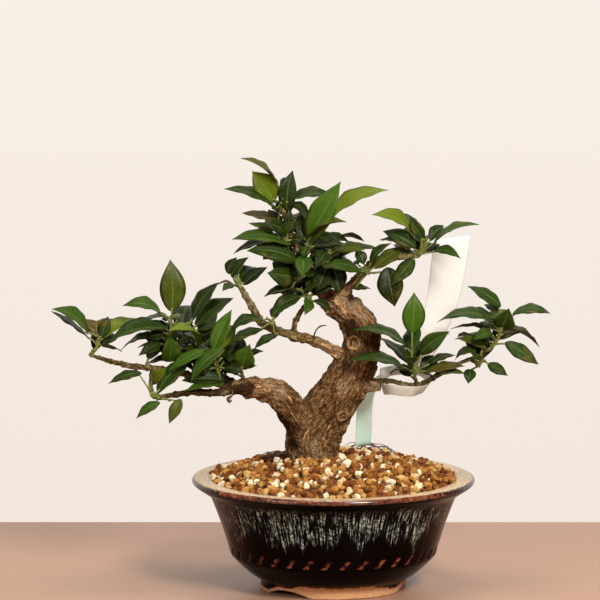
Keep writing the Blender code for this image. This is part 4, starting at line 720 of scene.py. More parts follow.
class SoilSettings(bpy.types.PropertyGroup):
    granule_size: FloatProperty(name="Granule size", description="Mean width of a granule, in mm",
                                default=5.0, min=2.0, max=8.0)
    granule_gap: FloatProperty(name="Spacing", description="Least distance between granules, in mm",
                               default=3.4, min=2.0, max=8.0)
    seed: IntProperty(name="Seed", description="Fixes where the granules fall", default=4)
    ochre: FloatVectorProperty(name="Ochre", description="Most granules", subtype="COLOR",
                               default=(0.37, 0.158, 0.036))
    rust: FloatVectorProperty(name="Rust", description="Darker granules", subtype="COLOR",
                              default=(0.165, 0.053, 0.013))
    cream: FloatVectorProperty(name="Cream", description="Pale granules", subtype="COLOR",
                               default=(0.72, 0.58, 0.36))


class WoodSettings(bpy.types.PropertyGroup):
    voxel: FloatProperty(name="Detail", description="Size of the bark's smallest shape, in mm", default=0.75,
                         min=0.4, max=3.0)
    relief: FloatProperty(name="Relief", description="Depth of the bark's fissures, in mm", default=1.9,
                          min=0.0, max=4.0)
    old_bark: FloatVectorProperty(name="Old bark", description="Bark of the trunk", subtype="COLOR",
                                  default=(0.31, 0.135, 0.046))
    young_bark: FloatVectorProperty(name="Young bark", description="Bark of the upper trunk and the limbs",
                                    subtype="COLOR", default=(0.58, 0.25, 0.082))


class LeafSettings(bpy.types.PropertyGroup):
    thickness: FloatProperty(name="Thickness", description="Thickness of a blade at its rib, in mm",
                             default=0.5, min=0.1, max=1.0)
    fold: FloatProperty(name="Fold", description="How far the halves fold up from the rib", default=0.38)
    recurve: FloatProperty(name="Recurve", description="How far the edges bend back down", default=0.2)
    wave: FloatProperty(name="Wave", description="Depth of the waves along the edge", default=0.07)


class LabelSettings(bpy.types.PropertyGroup):
    thickness: FloatProperty(name="Thickness", description="Thickness of the plastic, in mm", default=0.6)
    front: FloatVectorProperty(name="Front", description="The label's white face", subtype="COLOR",
                               default=(0.70, 0.69, 0.65))
    reverse: FloatVectorProperty(name="Reverse", description="The label's green reverse", subtype="COLOR",
                                 default=(0.62, 1.0, 0.74))


class StageSettings(bpy.types.PropertyGroup):
    floor: FloatVectorProperty(name="Floor", description="Floor and backdrop", subtype="COLOR",
                               default=(0.375, 0.208, 0.138))
    room: FloatVectorProperty(name="Room", description="Dim light from the sides and above", subtype="COLOR",
                              default=(0.42, 0.40, 0.38))
    key_power: FloatProperty(name="Key light", description="Power of the main light", default=27.0, min=0.0,
                             subtype="POWER")


def pot_profile():
    """The pot's outline as rows of radius and height, from the lip down the outside and back up inside."""
    under = RIM_HEIGHT - LIP_THICKNESS
    outer = [(LIP_INNER_RADIUS, RIM_HEIGHT - 0.6), (RIM_RADIUS - 6.0, RIM_HEIGHT - 0.15),
             (RIM_RADIUS - 2.5, RIM_HEIGHT), (RIM_RADIUS - 0.7, RIM_HEIGHT - 0.8),
             (RIM_RADIUS, RIM_HEIGHT - 2.2),
             (RIM_RADIUS - 0.5, RIM_HEIGHT - 3.6), (RIM_RADIUS - 2.2, under - 1.0), (88.5, under - 4.0),
             (84.6, under - 6.6), (82.2, under - 9.5), (75.8, 45.0), (72.2, 34.0), (70.4, 28.5),
             (69.7, 25.5), (69.1, 23.6), (67.9, 21.9), (61.8, 15.8), (56.0, 10.8), (51.0, 7.6),
             (49.3, FOOT_HEIGHT - 0.6), (FOOT_RADIUS - 0.9, 3.5), (FOOT_RADIUS - 0.1, 1.0)]
    rows = smooth_route([(r, 0.0, z) for r, z in outer], PROFILE_STEP)
    fine = []
    for before, after in zip(rows, rows[1:]):
        fine.append(before)
        if SHOULDER_HEIGHT - 1.5 < before.z < SHOULDER_HEIGHT + 11.0:
            fine += [before.lerp(after, share / 3) for share in (1, 2)]
    fine.append(rows[-1])
    ring = FOOT_RADIUS - FOOT_WIDTH
    inner = [(FOOT_RADIUS - 0.7, 0.15), (FOOT_RADIUS - 1.5, 0.0), (ring + 1.4, 0.0), (ring + 0.5, 0.2),
             (ring, 1.0), (ring - 1.0, FOOT_HEIGHT), (DRAIN_RADIUS, FOOT_HEIGHT),
             (DRAIN_RADIUS, FLOOR_HEIGHT),
             (50.0, FLOOR_HEIGHT + 1.0), (SHOULDER_RADIUS - WALL, SHOULDER_HEIGHT + 2.5), (75.8 - WALL, 45.0),
             (79.6, 66.0), (81.6, 73.0)]
    return [(row.x, row.z) for row in fine] + inner


def foot_arch(turn):
    """How high the foot's edge is lifted by its low arches, at this turn in radians."""
    radius = (NOTCH_WIDTH ** 2 / 4 + NOTCH_RISE ** 2) / (2 * NOTCH_RISE)
    lift = 0.0
    for k in range(NOTCHES):
        apart = wrapped(turn - math.radians(FIRST_NOTCH_DEGREES + 360 * k / NOTCHES), TURN)
        across = apart * (FOOT_RADIUS - FOOT_WIDTH / 2)
        if abs(across) < radius:
            lift = max(lift, math.sqrt(radius ** 2 - across ** 2) - (radius - NOTCH_RISE))
    return lift


def shoulder_mark(turn, z, marks):
    """How much of a slanted mark is cut at this place, from 0 to 1."""
    row = (z - MARK_HEIGHT) / MARK_REACH
    if abs(row) > 1:
        return 0.0
    slanted = wrapped(turn - math.radians(FIRST_MARK_DEGREES) - row * 0.036, TURN / marks)
    foot, head = max(0.0, -row - 0.35) * 2.2, max(0.0, row - 0.4) * 1.6
    across = (slanted * SHOULDER_RADIUS + foot * 0.3 - head * 0.4) / (1.6 + foot + head)
    return (1 - smoothstep(abs(across), 0.55, 1.0)) * (1 - smoothstep(abs(row), 0.72, 1.0))


def glaze_material(name, values, shine):
    """Near-black glaze with pale strokes down its wall, rusty edges, an ashy lip and a bare clay foot."""
    material, graph = new_material(name, specular_ior_level=shine)
    step, mix, noise_at = graph.step, graph.mix, graph.noise
    place = graph.field("ShaderNodeMapping", {"Vector": graph.place(), "Location": -POT_AXIS})
    x, y, z = graph.parts(place)
    height, radius = z / MM, graph.math("SQRT", x * x + y * y) / MM
    round_x, round_y, aside = x / radius * 80.0, y / radius * 80.0, abs(x) / MM

    def running(squeeze, *how):
        """Noise on the wall, drawn out down it by this squeeze."""
        return noise_at(graph.whole(round_x, round_y, z * squeeze), *how)

    drips, ragged = running(0.02, 62.0, 3.0, 0.7), running(0.02, 170.0, 4.0, 0.7)
    hairs, clumps = running(0.06, 1300.0, 2.0, 0.6, 0.4), running(0.3, 150.0, 4.0, 0.65)
    breaks, uneven = running(0.15, 760.0, 3.0, 0.7), running(0.02, 120.0, 3.0, 0.6)
    broken, speckle = noise_at(place, 330.0, 4.0, 0.65), noise_at(place, 720.0, 3.0, 0.7)
    grit = noise_at(place, 900.0, 4.0, 0.7)
    zone = step(height - (drips * -62.0 + 73.0), -2.0, 6.0) * step(height, 61.0, 67.5, 1.0, 0.0)
    strokes = step(hairs + (clumps - 0.5) * 0.45 + (breaks - 0.5) * 0.34, 0.524, 0.580) * zone
    pale = mix(step(noise_at(place, 500.0), 0.40, 0.60), (0.05, 0.070, 0.072), values.streaks)
    lip = step(radius, 91.0, 93.0) * step(height + (ragged - 0.5) * 4.0, 71.8, 72.3)
    worn_lip = step(broken + step(aside, 55.0, 90.0) * -0.13, 0.38, 0.46)
    rusty = mix(step(broken, 0.46, 0.68), values.rust, (0.26, 0.080, 0.032))
    flank = step(aside + (drips - 0.5) * 30.0, 52.0, 80.0) * step(hairs, 0.4, 0.6, 0.3, 1.0)
    top = step(height, 73.2, 74.2) * step(radius + (ragged - 0.5) * 2.0, 93.8, 92.6)
    ash = mix(step(speckle, 0.38, 0.60), (0.18, 0.11, 0.05), (0.64, 0.46, 0.275))
    ash = mix(step(broken, 0.56, 0.74) * 0.7, ash, (0.22, 0.13, 0.07))
    worn = step(graph.attribute("mark"), 0.2, 0.7) * step(broken, 0.34, 0.46) * step(aside, 62.0, 50.0)
    reddish = mix(step(broken, 0.4, 0.62), (0.06, 0.012, 0.005), (0.22, 0.058, 0.026))
    reach = step(x / MM, -30.0, -18.0, 1.6, 8.0) - step(x / MM, 22.0, 46.0, 0.0, 4.6)
    above_foot = height - (reach + graph.attribute("lift") + (uneven - 0.5) * 5.0)
    bare = step(above_foot + (broken - 0.5) * 0.8, 0.5, -0.2)
    clay = mix(step(grit, 0.3, 0.65), (0.44, 0.21, 0.10), values.clay)
    shade = graph.layered(
        values.glaze, (noise_at(place, 60.0) * 0.5, (0.0045, 0.0013, 0.0006)),
        (zone * step(clumps, 0.36, 0.64, 0.1, 0.9), (0.0045, 0.0068, 0.0075)),
        (strokes * step(breaks, 0.3, 0.62, 0.25, 1.0), pale), (lip * worn_lip, rusty),
        (flank * step(height, 71.0, 69.0) * 0.7, (0.085, 0.022, 0.010)), (top, ash), (worn, reddish),
        (step(above_foot, 1.6, 0.2) * 0.8, (0.26, 0.075, 0.026)), (bare, clay))
    relief = strokes * 0.3 + bare * grit * 1.5 + noise_at(place, 45.0, 2.0) * 0.9 + top * speckle * 0.4
    graph.dress(shade, relief, 0.3, 0.0006, bare * 0.7 + top * 0.2 + 0.17)
    return material


class BONSAI_OT_glaze_pot(bpy.types.Operator):
    """Turn the glazed pot with its rolled lip, marked shoulder and arched foot"""
    bl_idname = "bonsai.glaze_pot"
    bl_label = "Pot"

    def execute(self, context):
        values = settings("bonsai_pot")
        profile, steps = pot_profile(), values.steps
        rows = len(profile)
        vertices, faces, marks, lifts = [], [], [], []
        for k in range(steps):
            turn = TURN * k / steps
            x, y, lift = math.cos(turn), math.sin(turn), foot_arch(turn)
            faces += ring_faces(k * rows, (k + 1) % steps * rows, rows)
            for i, (radius, z) in enumerate(profile):
                outside = i < OUTER_ROWS
                marked = outside and radius > SHOULDER_RADIUS - 3
                marks.append(shoulder_mark(turn, z, values.marks) if marked else 0.0)
                lifts.append(lift)
                radius -= values.mark_depth * marks[-1]
                if outside:
                    radius += 0.25 * noise.noise(Vector((x * 2, y * 2, z * 0.03)))
                if z < FOOT_HEIGHT:
                    z = lift + z * (FOOT_HEIGHT - lift) / FOOT_HEIGHT
                vertices.append((radius * x, radius * y, z))
        pot = mesh_object("glazed_pot", vertices, faces)
        add_attribute(pot.data, "mark", marks)
        add_attribute(pot.data, "lift", lifts)
        pot.data.materials.append(glaze_material("wall_glaze", values, 0.035))
        pot.data.materials.append(glaze_material("lip_glaze", values, 0.5))
        for face in pot.data.polygons:
            face.material_index = int(face.center.z > (RIM_HEIGHT - LIP_THICKNESS) * MM)
        joins_body(pot, "glazed_stoneware", "pot")
        return {"FINISHED"}


class BONSAI_OT_finish_net(bpy.types.Operator):
    """Finish the net over the drain hole"""
    bl_idname = "bonsai.finish_net"
    bl_label = "Drain net"

    def execute(self, context):
        material, graph = new_material("black_net", 0.6)
        mottle = graph.noise(graph.place(), 500.0)
        graph.dress(graph.mix(mottle, (0.015, 0.015, 0.015), (0.04, 0.04, 0.04)), mottle, 0.3, 0.0002)
        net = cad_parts["drain_screen"].data
        net.materials.clear()
        net.materials.append(material)
        return {"FINISHED"}


def mound_height(x, y):
    """The soil's level: lowest at the rim, highest behind the trunk."""
    out = Vector((x, y)) - MOUND_TOP
    if out.length < 0.01:
        return SOIL_EDGE_HEIGHT + MOUND_RISE
    lean = MOUND_TOP.dot(out)
    room = SOIL_RADIUS ** 2 - MOUND_TOP.length_squared
    share = out.length_squared / (math.sqrt(lean ** 2 + out.length_squared * room) - lean)
    return SOIL_EDGE_HEIGHT + MOUND_RISE * (1 - min(1.0, share) ** MOUND_SHAPE)


def soil_material(name, values, granular):
    """The soil's finish: each granule has its own tone, and the bed under them is dark."""
    material, graph = new_material(name, 0.9, specular_ior_level=0.1)
    place = graph.place()
    mottle = graph.noise(place, 420.0, 4.0, 0.65)
    if granular:
        tone = graph.attribute("tone") + (mottle - 0.5) * 0.10
        tone = graph.math("MAXIMUM", tone + (graph.noise(place, 26.0, 2.0) - 0.5) * 0.6, 0.07)
        litter = graph.vector("DISTANCE", place, in_frame((*LITTER, mound_height(*LITTER))))
        tone = tone - graph.step(litter + (mottle - 0.5) * 0.008, 0.015, 0.009)
        shade = graph.ramp(tone, [
            (0.0, (0.018, 0.007, 0.003)), (0.04, (0.12, 0.036, 0.009)), (0.2, values.rust),
            (0.38, (0.28, 0.105, 0.024)), (0.55, values.ochre), (0.69, (0.48, 0.24, 0.058)),
            (0.80, (0.58, 0.37, 0.135)), (0.87, values.cream), (1.0, (0.84, 0.74, 0.53))])
        shade = graph.mix(graph.step(mottle, 0.62, 0.3) * 0.55, shade, values.rust)
    else:
        shade = graph.mix(mottle, (0.055, 0.021, 0.007), (0.19, 0.075, 0.022))
    graph.dress(shade, graph.noise(place, 1700.0, 3.0, 0.7) + mottle, 0.55, 0.0007)
    return material


def granule_tree():
    """Granules scattered on a mound: rounded cubes, each turned, stretched and roughened in its own way."""
    graph, given = new_tree("granules", {
        "Size": "Float", "Spacing": "Float", "Seed": "Int", "Material": "Material", "Trunk": "Vector",
        "Trunk Radius": "Float"})
    size = given["Size"]
    points = graph.field("GeometryNodeDistributePointsOnFaces", {
        "Mesh": given["Geometry"], "Distance Min": given["Spacing"], "Density Max": 90000.0,
        "Seed": given["Seed"]}, distribute_method="POISSON")
    from_trunk = graph.stretched(graph.vector("SUBTRACT", graph.position(), given["Trunk"]), 0.0)
    points = graph.field("GeometryNodeSeparateGeometry", {
        "Geometry": points, "Selection": graph.vector("LENGTH", from_trunk) > given["Trunk Radius"]},
        domain="POINT")
    cube = graph.field("GeometryNodeMeshCube", {"Size": (1.0, 1.0, 1.0)})
    stone = graph.with_local(graph.field("GeometryNodeSubdivisionSurface", {"Mesh": cube, "Level": 1}))
    turn = graph.random((0.0, 0.0, 0.0), (6.28, 6.28, 6.28), 1)
    stretch = graph.random((0.9, 0.85, 0.75), (1.5, 1.35, 1.2), 2)
    girth, lift = graph.random(0.55, 1.36, 3) * size, graph.random(-0.10, 0.42, 4) * size
    points = graph.moved(points, Offset=graph.whole(0.0, 0.0, lift))
    points = graph.store(points, "tone", graph.random(0.0, 1.0, 5))
    stones = graph.on_points(points, stone, Rotation=turn, Scale=graph.scaled(stretch, girth))
    apart = graph.along(graph.stored_vector("local"), ((37.0, 91.0, 53.0), graph.stored("tone")))
    dents = graph.vector("SUBTRACT", graph.noise(apart, 1.9, 1.0, output="Color"), (0.5, 0.5, 0.5))
    end_tree(graph, graph.moved(stones, Offset=graph.scaled(dents, size * 0.9)), given["Material"])
    return graph


def add_rods(name, routes, material_name, sides):
    """A piece made of dry rods along routes of x, y, z and radius."""
    vertices, edges, radii = [], [], []
    for route in routes:
        edges += [(len(vertices) + i, len(vertices) + i + 1) for i in range(len(route) - 1)]
        vertices += [row[:3] for row in route]
        radii += [row[3] * MM for row in route]
    thing = mesh_object(name, vertices, edges=edges)
    add_attribute(thing.data, "radius", radii)
    graph, given = new_tree("rods", {"Material": "Material", "Sides": "Int"})
    end_tree(graph, graph.smooth(graph.rods(given["Geometry"], given["Sides"])), given["Material"])
    material, shades = new_material(material_name, 0.8)
    mottle = shades.noise(shades.place(), 300.0)
    shades.dress(shades.mix(mottle, (0.03, 0.015, 0.008), (0.12, 0.07, 0.035)))
    grown(thing, graph, {"Material": material, "Sides": sides})
    joins_body(thing, "bark")


class BONSAI_OT_fill_soil(bpy.types.Operator):
    """Fill the pot with a mound of granules over a dark bed, with dry rootlets on it"""
    bl_idname = "bonsai.fill_soil"
    bl_label = "Soil"

    def execute(self, context):
        values = settings("bonsai_soil")
        circle = [(math.cos(TURN * k / BED_STEPS), math.sin(TURN * k / BED_STEPS)) for k in range(BED_STEPS)]
        vertices = [(0.0, 0.0, mound_height(0, 0) - BED_DROP)]
        faces = [(0, 1 + k, 1 + (k + 1) % BED_STEPS) for k in range(BED_STEPS)]
        for i in range(1, BED_RINGS + 1):
            radius = SOIL_RADIUS * i / BED_RINGS
            for x, y in ((radius * a, radius * b) for a, b in circle):
                rough = noise.noise(Vector((x, y, 3.0)) * 0.16) * 1.2
                vertices.append((x, y, mound_height(x, y) - BED_DROP + rough * (i < BED_RINGS)))
            faces += ring_faces(1 + (i - 1) * BED_STEPS, 1 + i * BED_STEPS, BED_STEPS)
        bottom = len(vertices)
        vertices += [(BED_BOTTOM_RADIUS * a, BED_BOTTOM_RADIUS * b, BED_BOTTOM) for a, b in circle]
        faces.append(tuple(range(bottom, bottom + BED_STEPS)))
        bed = mesh_object("soil_bed", vertices, faces)
        bed.data.materials.append(soil_material("dark_soil", values, False))
        joins_body(bed, "soil_granules", "soil")

        mound = [(x, y, z + BED_DROP / 2) for x, y, z in vertices[:bottom]]
        granules = mesh_object("granules", mound, faces[:BED_RINGS * BED_STEPS])
        grown(granules, granule_tree(), {
            "Size": values.granule_size * MM * 0.95, "Spacing": values.granule_gap * MM, "Seed": values.seed,
            "Material": soil_material("granule_clay", values, True), "Trunk Radius": TRUNK_HOLE * MM,
            "Trunk": tuple(in_frame((*TRUNK_FOOT, 0.0)))}, kept=("tone",))
        joins_body(granules, "soil_granules")

        draw = random.Random(7)
        routes, last = [], ROOTLET_POINTS - 1
        for x, y, degrees, length in ROOTLETS:
            heading, place, route = math.radians(degrees), Vector((x, y)), []
            for i in range(ROOTLET_POINTS):
                rise = 2.2 + (3.6 if y > 40 else 2.6) * math.sin(i / last * math.pi * draw.uniform(0.8, 1.2))
                route.append((*place, mound_height(*place) + rise, 0.42 - 0.025 * i))
                heading += draw.uniform(-0.35, 0.35)
                place = place + Vector((math.cos(heading), math.sin(heading))) * length / last
            routes.append(route)
        add_rods("rootlets", routes, "dry_root", 6)
        return {"FINISHED"}


def wood_limbs():
    """Every limb's route in the round, as rows of x, y, z and radius."""
    foot = [(*TRUNK_FOOT, 60.0, 15.0), (*TRUNK_FOOT, 70.0, 15.2)]
    trunk = smooth_route(foot + in_round(TRUNK[1:]), LIMB_STEP)
    return [trunk] + [placed(rows, LIMB_STEP) for rows in (LEFT_LIMB, STUB, *TWIGS.values())]


def mark_grain(mesh):
    """Store on each vertex of the wood where it lies along and across its limb, and that limb's radius."""
    samples = []
    for limb in wood_limbs():
        across, run = Vector((0, 1, 0)), 0.0
        for behind, row, ahead in zip([limb[0], *limb], limb, [*limb[1:], limb[-1]]):
            along = (ahead.xyz - behind.xyz).normalized()
            across = (across - along * across.dot(along)).normalized()
            run += (row.xyz - behind.xyz).length
            samples.append((row.xyz, along, across, along.cross(across), run, row.w))
    tree = kd_tree([sample[0] for sample in samples])
    grain, girth = [], []
    for vertex in mesh.vertices:
        place = round_axis(vertex.co)
        index = min(tree.find_n(place, 14), key=lambda found: found[2] - samples[found[1]][5])[1]
        centre, along, across, side, run, radius = samples[index]
        out = place - centre
        grain.append((out.dot(across), out.dot(side), run + out.dot(along)))
        girth.append(radius)
    add_attribute(mesh, "grain", grain)
    add_attribute(mesh, "girth", girth)


def mark_scars(mesh):
    """Store how far each vertex lies from the nearest pruning scar, as a share of the scar's radius."""
    surface, eye = surface_of(mesh), Vector((VIEW_SIDE, -VIEW_DISTANCE, VIEW_HEIGHT))
    hits = [(surface.ray_cast(eye, (seen(px, py, 0.0) - eye).normalized())[0], radius)
            for px, py, radius in SCARS]
    add_attribute(mesh, "scar", [
        min([9.0] + [(round_axis(v.co) - centre).length / radius for centre, radius in hits if centre])
        for v in mesh.vertices])


def mark_places(mesh, name, rows):
    """Store on each vertex the sum of what the rows' places add there, each fading over its radius."""
    tree = kd_tree([round_axis(vertex.co) for vertex in mesh.vertices])
    sums = [0.0] * len(mesh.vertices)
    for px, py, depth, radius, amount in rows:
        centre = tree.find(seen(px, py, depth))[0]
        for _, i, distance in tree.find_range(centre, radius * 2):
            sums[i] += amount * math.exp(-1.6 * (distance / radius) ** 2)
    add_attribute(mesh, name, sums)


def bark_tree():
    """Bark: fissures and plates that run along each limb, and ringed scars where shoots were pruned."""
    graph, given = new_tree("bark", {"Relief": "Float", "Swell": "Float", "Material": "Material"})
    step, squeezed, noise_at = graph.step, graph.stretched, graph.noise
    grain, (girth, scar, knob) = graph.stored_vector("grain"), map(graph.stored, ("girth", "scar", "knob"))
    cracks = step(graph.cracks(grain, 0.3, 0.35, 2.2, 0.30), 0.16, 0.0)
    ridges = abs(noise_at(squeezed(grain, 0.25), 0.26, 4.0, 0.62, 0.6) - 0.5) * 2.4
    plates = noise_at(squeezed(grain, 0.4), 0.55, 3.0, 0.6)
    lumps = noise_at(squeezed(grain, 0.7), 0.11, 2.0)
    rough = (ridges * 0.8 + plates * 0.8 - cracks * 0.45 - 0.6) * step(scar, 0.6, 1.3, 0.35, 1.0)
    rough = rough + (lumps - 0.5) * 2.4
    rings = graph.math("COSINE", scar * 8.0 + (plates - 0.5) * 5.0) * step(scar, 1.1, 0.8) * 0.22
    collar = step(abs(scar - 0.95), 0.35, 0.0) * 0.35
    joint = graph.math("COSINE", graph.parts(grain)[2] * 0.72 + noise_at(grain, 0.08) * 9.0)
    joints = step(joint, 0.6, 1.0) * step(girth, 5.5, 3.0) * step(girth, 0.8, 2.2)
    push = (rough * step(girth, 1.5, 10.0, 0.26, 1.0) + rings + collar) * given["Relief"]
    push = push + given["Swell"] * step(girth, 7.0, 3.0) + joints * given["Swell"] * 1.8 + knob * MM
    normal = graph.field("GeometryNodeInputNormal")
    barked = graph.moved(given["Geometry"], Offset=graph.scaled(normal, push))
    # The relief's depth, which the bark's colour darkens in the fissures: darker inner bark and painted shade
    # together.
    barked = graph.store(barked, "depth", ridges * 0.6 + plates * 0.4 - cracks * 0.25)
    end_tree(graph, graph.smooth(barked), given["Material"])
    return graph


def bark_material(values):
    """Dark fissured bark low down, tan and cracked on the upper limb, olive on the thin twigs.

    The fissures and the near-black patches carry painted shade, and some of the tan patches carry painted
    light.
    """
    material, graph = new_material("citrus_bark", 0.9, specular_ior_level=0.05)
    step, noise_at, place = graph.step, graph.noise, graph.place()
    grain, height = graph.attribute("grain", "Vector"), graph.parts(place)[2] / MM
    girth, scar, depth, tone_and_shade, knob = map(graph.attribute, ("girth", "scar", "depth", "tone_and_shade", "knob"))
    along = graph.stretched(grain, 0.22)
    fibres, streaks = noise_at(along, 1.25, 5.0, 0.75, 0.6), noise_at(along, 0.45, 4.0, 0.7, 0.5)
    flecks = noise_at(place, 620.0, 4.0, 0.7)
    youth = graph.math("MAXIMUM", step(girth, 9.4, 7.2), step(height, 178.0, 192.0))
    youth = youth + (noise_at(place, 70.0, 3.0, 0.6) - 0.5) * 0.7 + step(knob, 0.3, 1.4) * 0.3 + tone_and_shade * 0.7
    grade = fibres * 0.65 + streaks * 0.35 + (flecks - 0.5) * 0.34
    grade = grade + (noise_at(place, 38.0, 2.0) - 0.5) * 0.2 + tone_and_shade * 0.05
    old = graph.ramp(grade, [
        (0.38, (0.045, 0.014, 0.004)), (0.45, values.old_bark), (0.51, (0.54, 0.285, 0.118)),
        (0.57, (0.80, 0.54, 0.27)), (0.66, (0.98, 0.80, 0.54))])
    young = graph.ramp(grade, [
        (0.37, (0.055, 0.018, 0.005)), (0.44, values.young_bark), (0.50, (0.92, 0.52, 0.23)),
        (0.58, (0.96, 0.76, 0.48))])
    olive = graph.ramp(grade, [
        (0.38, (0.055, 0.042, 0.008)), (0.46, (0.23, 0.20, 0.048)), (0.53, (0.52, 0.44, 0.165)),
        (0.62, (0.88, 0.78, 0.46))])
    mossy = step(noise_at(place, 120.0, 4.0, 0.6), 0.56, 0.68) * step(height, 150.0, 90.0) * 0.5
    edges = graph.cracks(grain, 0.22, 0.4, 2.4, 0.34)
    rings = step(graph.math("COSINE", scar * 8.0 + (streaks - 0.5) * 9.0), 0.1, 0.9)
    # The near-black patches below are painted shade, and the tan ones that raise the young bark are partly
    # painted light.
    shade = graph.layered(
        old, (step(youth, 0.3, 0.75), young), (step(girth, 4.4, 2.4) * 0.85, olive),
        # Darker where the relief is deep: darker inner bark and painted shade in the fissures.
        (mossy, (0.20, 0.17, 0.055)), (step(depth, 0.52, 0.26) * 0.7, (0.014, 0.006, 0.002)),
        (step(edges + (flecks - 0.5) * 0.1, 0.10, 0.01) * 0.7, (0.030, 0.010, 0.004)),
        (step(tone_and_shade + (fibres - 0.5) * 1.2, -0.25, -0.75) * 0.8, (0.020, 0.009, 0.004)),
        (rings * step(scar, 1.25, 0.9) * 0.5, (0.60, 0.38, 0.155)))
    graph.dress(shade, fibres + streaks * 0.8, 0.8, 0.0011)
    return material


def welded_copy(node):
    """The shape of a CAD node as a new mesh, with its loose triangles joined."""
    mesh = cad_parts[node].data.copy()
    joined = bmesh.new()
    joined.from_mesh(mesh)
    bmesh.ops.remove_doubles(joined, verts=joined.verts, dist=0.000005)
    joined.to_mesh(mesh)
    joined.free()
    mesh.materials.clear()
    return mesh


class BONSAI_OT_grow_wood(bpy.types.Operator):
    """Grow the trunk, limbs and twigs with fissured bark and ringed pruning scars"""
    bl_idname = "bonsai.grow_wood"
    bl_label = "Wood"

    def execute(self, context):
        values = settings("bonsai_wood")
        wood = new_object("wood", welded_copy("trunk"))
        remesh = wood.modifiers.new("even", "REMESH")
        remesh.mode, remesh.voxel_size = "VOXEL", values.voxel * MM
        soften = wood.modifiers.new("soften", "SMOOTH")
        soften.factor, soften.iterations = 0.5, 3
        mesh = made_plain(wood)
        mark_grain(mesh)
        mark_scars(mesh)
        mark_places(mesh, "knob", KNOBS)
        mark_places(mesh, "tone_and_shade", TONE_AND_SHADE_PATCHES)
        grown(wood, bark_tree(), {
            "Relief": values.relief * MM, "Swell": BARK_SWELL * MM, "Material": bark_material(values)},
            kept=("grain", "girth", "scar", "depth", "knob", "tone_and_shade"))
        joins_body(wood, "bark", "trunk")
        add_rods("dry_twiglets", [placed(rows, BIT_STEP) for rows in DRY_BITS], "dry_twig", 7)
        return {"FINISHED"}


def ribbon(middles, acrosses, widths, thickness, closed):
    """A strip of plastic with rounded long edges along a row of places: (vertices, faces)."""
    count = len(middles)
    section = [(-1.0, 0.0), (-0.97, 0.38), (-0.9, 0.5), (0.9, 0.5), (0.97, 0.38),
               (1.0, 0.0), (0.97, -0.38), (0.9, -0.5), (-0.9, -0.5), (-0.97, -0.38)]
    sides = len(section)
    vertices, faces = [], []
    for i, (middle, across, width) in enumerate(zip(middles, acrosses, widths)):
        before = middles[i - 1] if closed else middles[max(i - 1, 0)]
        after = middles[(i + 1) % count] if closed else middles[min(i + 1, count - 1)]
        out = (after - before).cross(across).normalized() * thickness
        wide = across.normalized() * width / 2
        vertices += [middle + wide * a + out * b for a, b in section]
    for i in range(count if closed else count - 1):
        for k in range(sides):
            a, b, step = sides * i + k, sides * i + (k + 1) % sides, sides * ((i + 1) % count - i)
            faces.append((a, b, b + step, a + step))
    if not closed:
        last = len(vertices) - sides
        faces += [tuple(range(sides))[::-1], tuple(range(last, last + sides))]
    return vertices, faces


def plastic_material(name, shade, painted_shade):
    """Thin cloudy plastic, with painted shade where the label bends round the twig, low and at the front."""
    material, graph = new_material(name, 0.4, subsurface_weight=0.6, subsurface_scale=0.003,
                                   subsurface_radius=(1.0, 1.0, 1.0))
    place = graph.place()
    _, deep, height = graph.parts(place)
    # Painted shade: low on the loop and at its front, the plastic darkens towards its shaded colour, as under
    # the leaves above it.
    painted_shade_share = graph.step(height, 0.146, 0.134) * graph.step(deep, 0.016, 0.006) * 0.9
    shade = graph.mix(painted_shade_share + graph.noise(place, 40.0, 2.0) * 0.1, shade, painted_shade)
    graph.dress(shade, graph.noise(place, 260.0, 2.0), 0.12, 0.0002)
    return material


class BONSAI_OT_hang_label(bpy.types.Operator):
    """Loop the blank plant label round the lowest right-hand twig"""
    bl_idname = "bonsai.hang_label"
    bl_label = "Label"

    def execute(self, context):
        values = settings("bonsai_label")
        loop = placed(LABEL_LOOP + LABEL_LOOP[:1], LOOP_STEP)[:-1]
        head, tail = placed(LABEL_HEAD, STRIP_STEP), placed(LABEL_TAIL, STRIP_STEP)
        leans = [Vector((smoothstep(place.x, 48.0, 62.0) * 0.75, 0, 1)) for place in loop]
        strips = [(loop, leans, [LOOP_WIDTH] * len(loop), True),
                  ([row.xyz for row in head], [Vector((1, 0.15, 0.12))] * len(head),
                   [row.w for row in head], False),
                  (tail, [Vector((1, 0.1, 0.1))] * len(tail), [TAIL_WIDTH] * len(tail), False)]
        vertices, faces, green = [], [], []
        for middles, acrosses, widths, closed in strips:
            points, polygons = ribbon(middles, acrosses, widths, values.thickness, closed)
            faces += [tuple(len(vertices) + i for i in polygon) for polygon in polygons]
            green += [int(middles is tail)] * len(polygons)
            vertices += points
        label = mesh_object("blank_label", vertices, faces)
        # The second colour given to each plastic is its painted shade.
        label.data.materials.append(plastic_material("white_plastic", values.front, (0.375, 0.345, 0.288)))
        label.data.materials.append(plastic_material("green_plastic", values.reverse, (0.58, 0.94, 0.67)))
        label.data.polygons.foreach_set("material_index", green)
        joins_body(label, "label_plastic", "label")
        return {"FINISHED"}


def blade_frame(leaf):
    """The leaf's own directions: along its rib, across it and out of its upper face."""
    along = (leaf.tip - leaf.base).normalized()
    across = along.cross(leaf.normal).normalized()
    return along, across, across.cross(along)


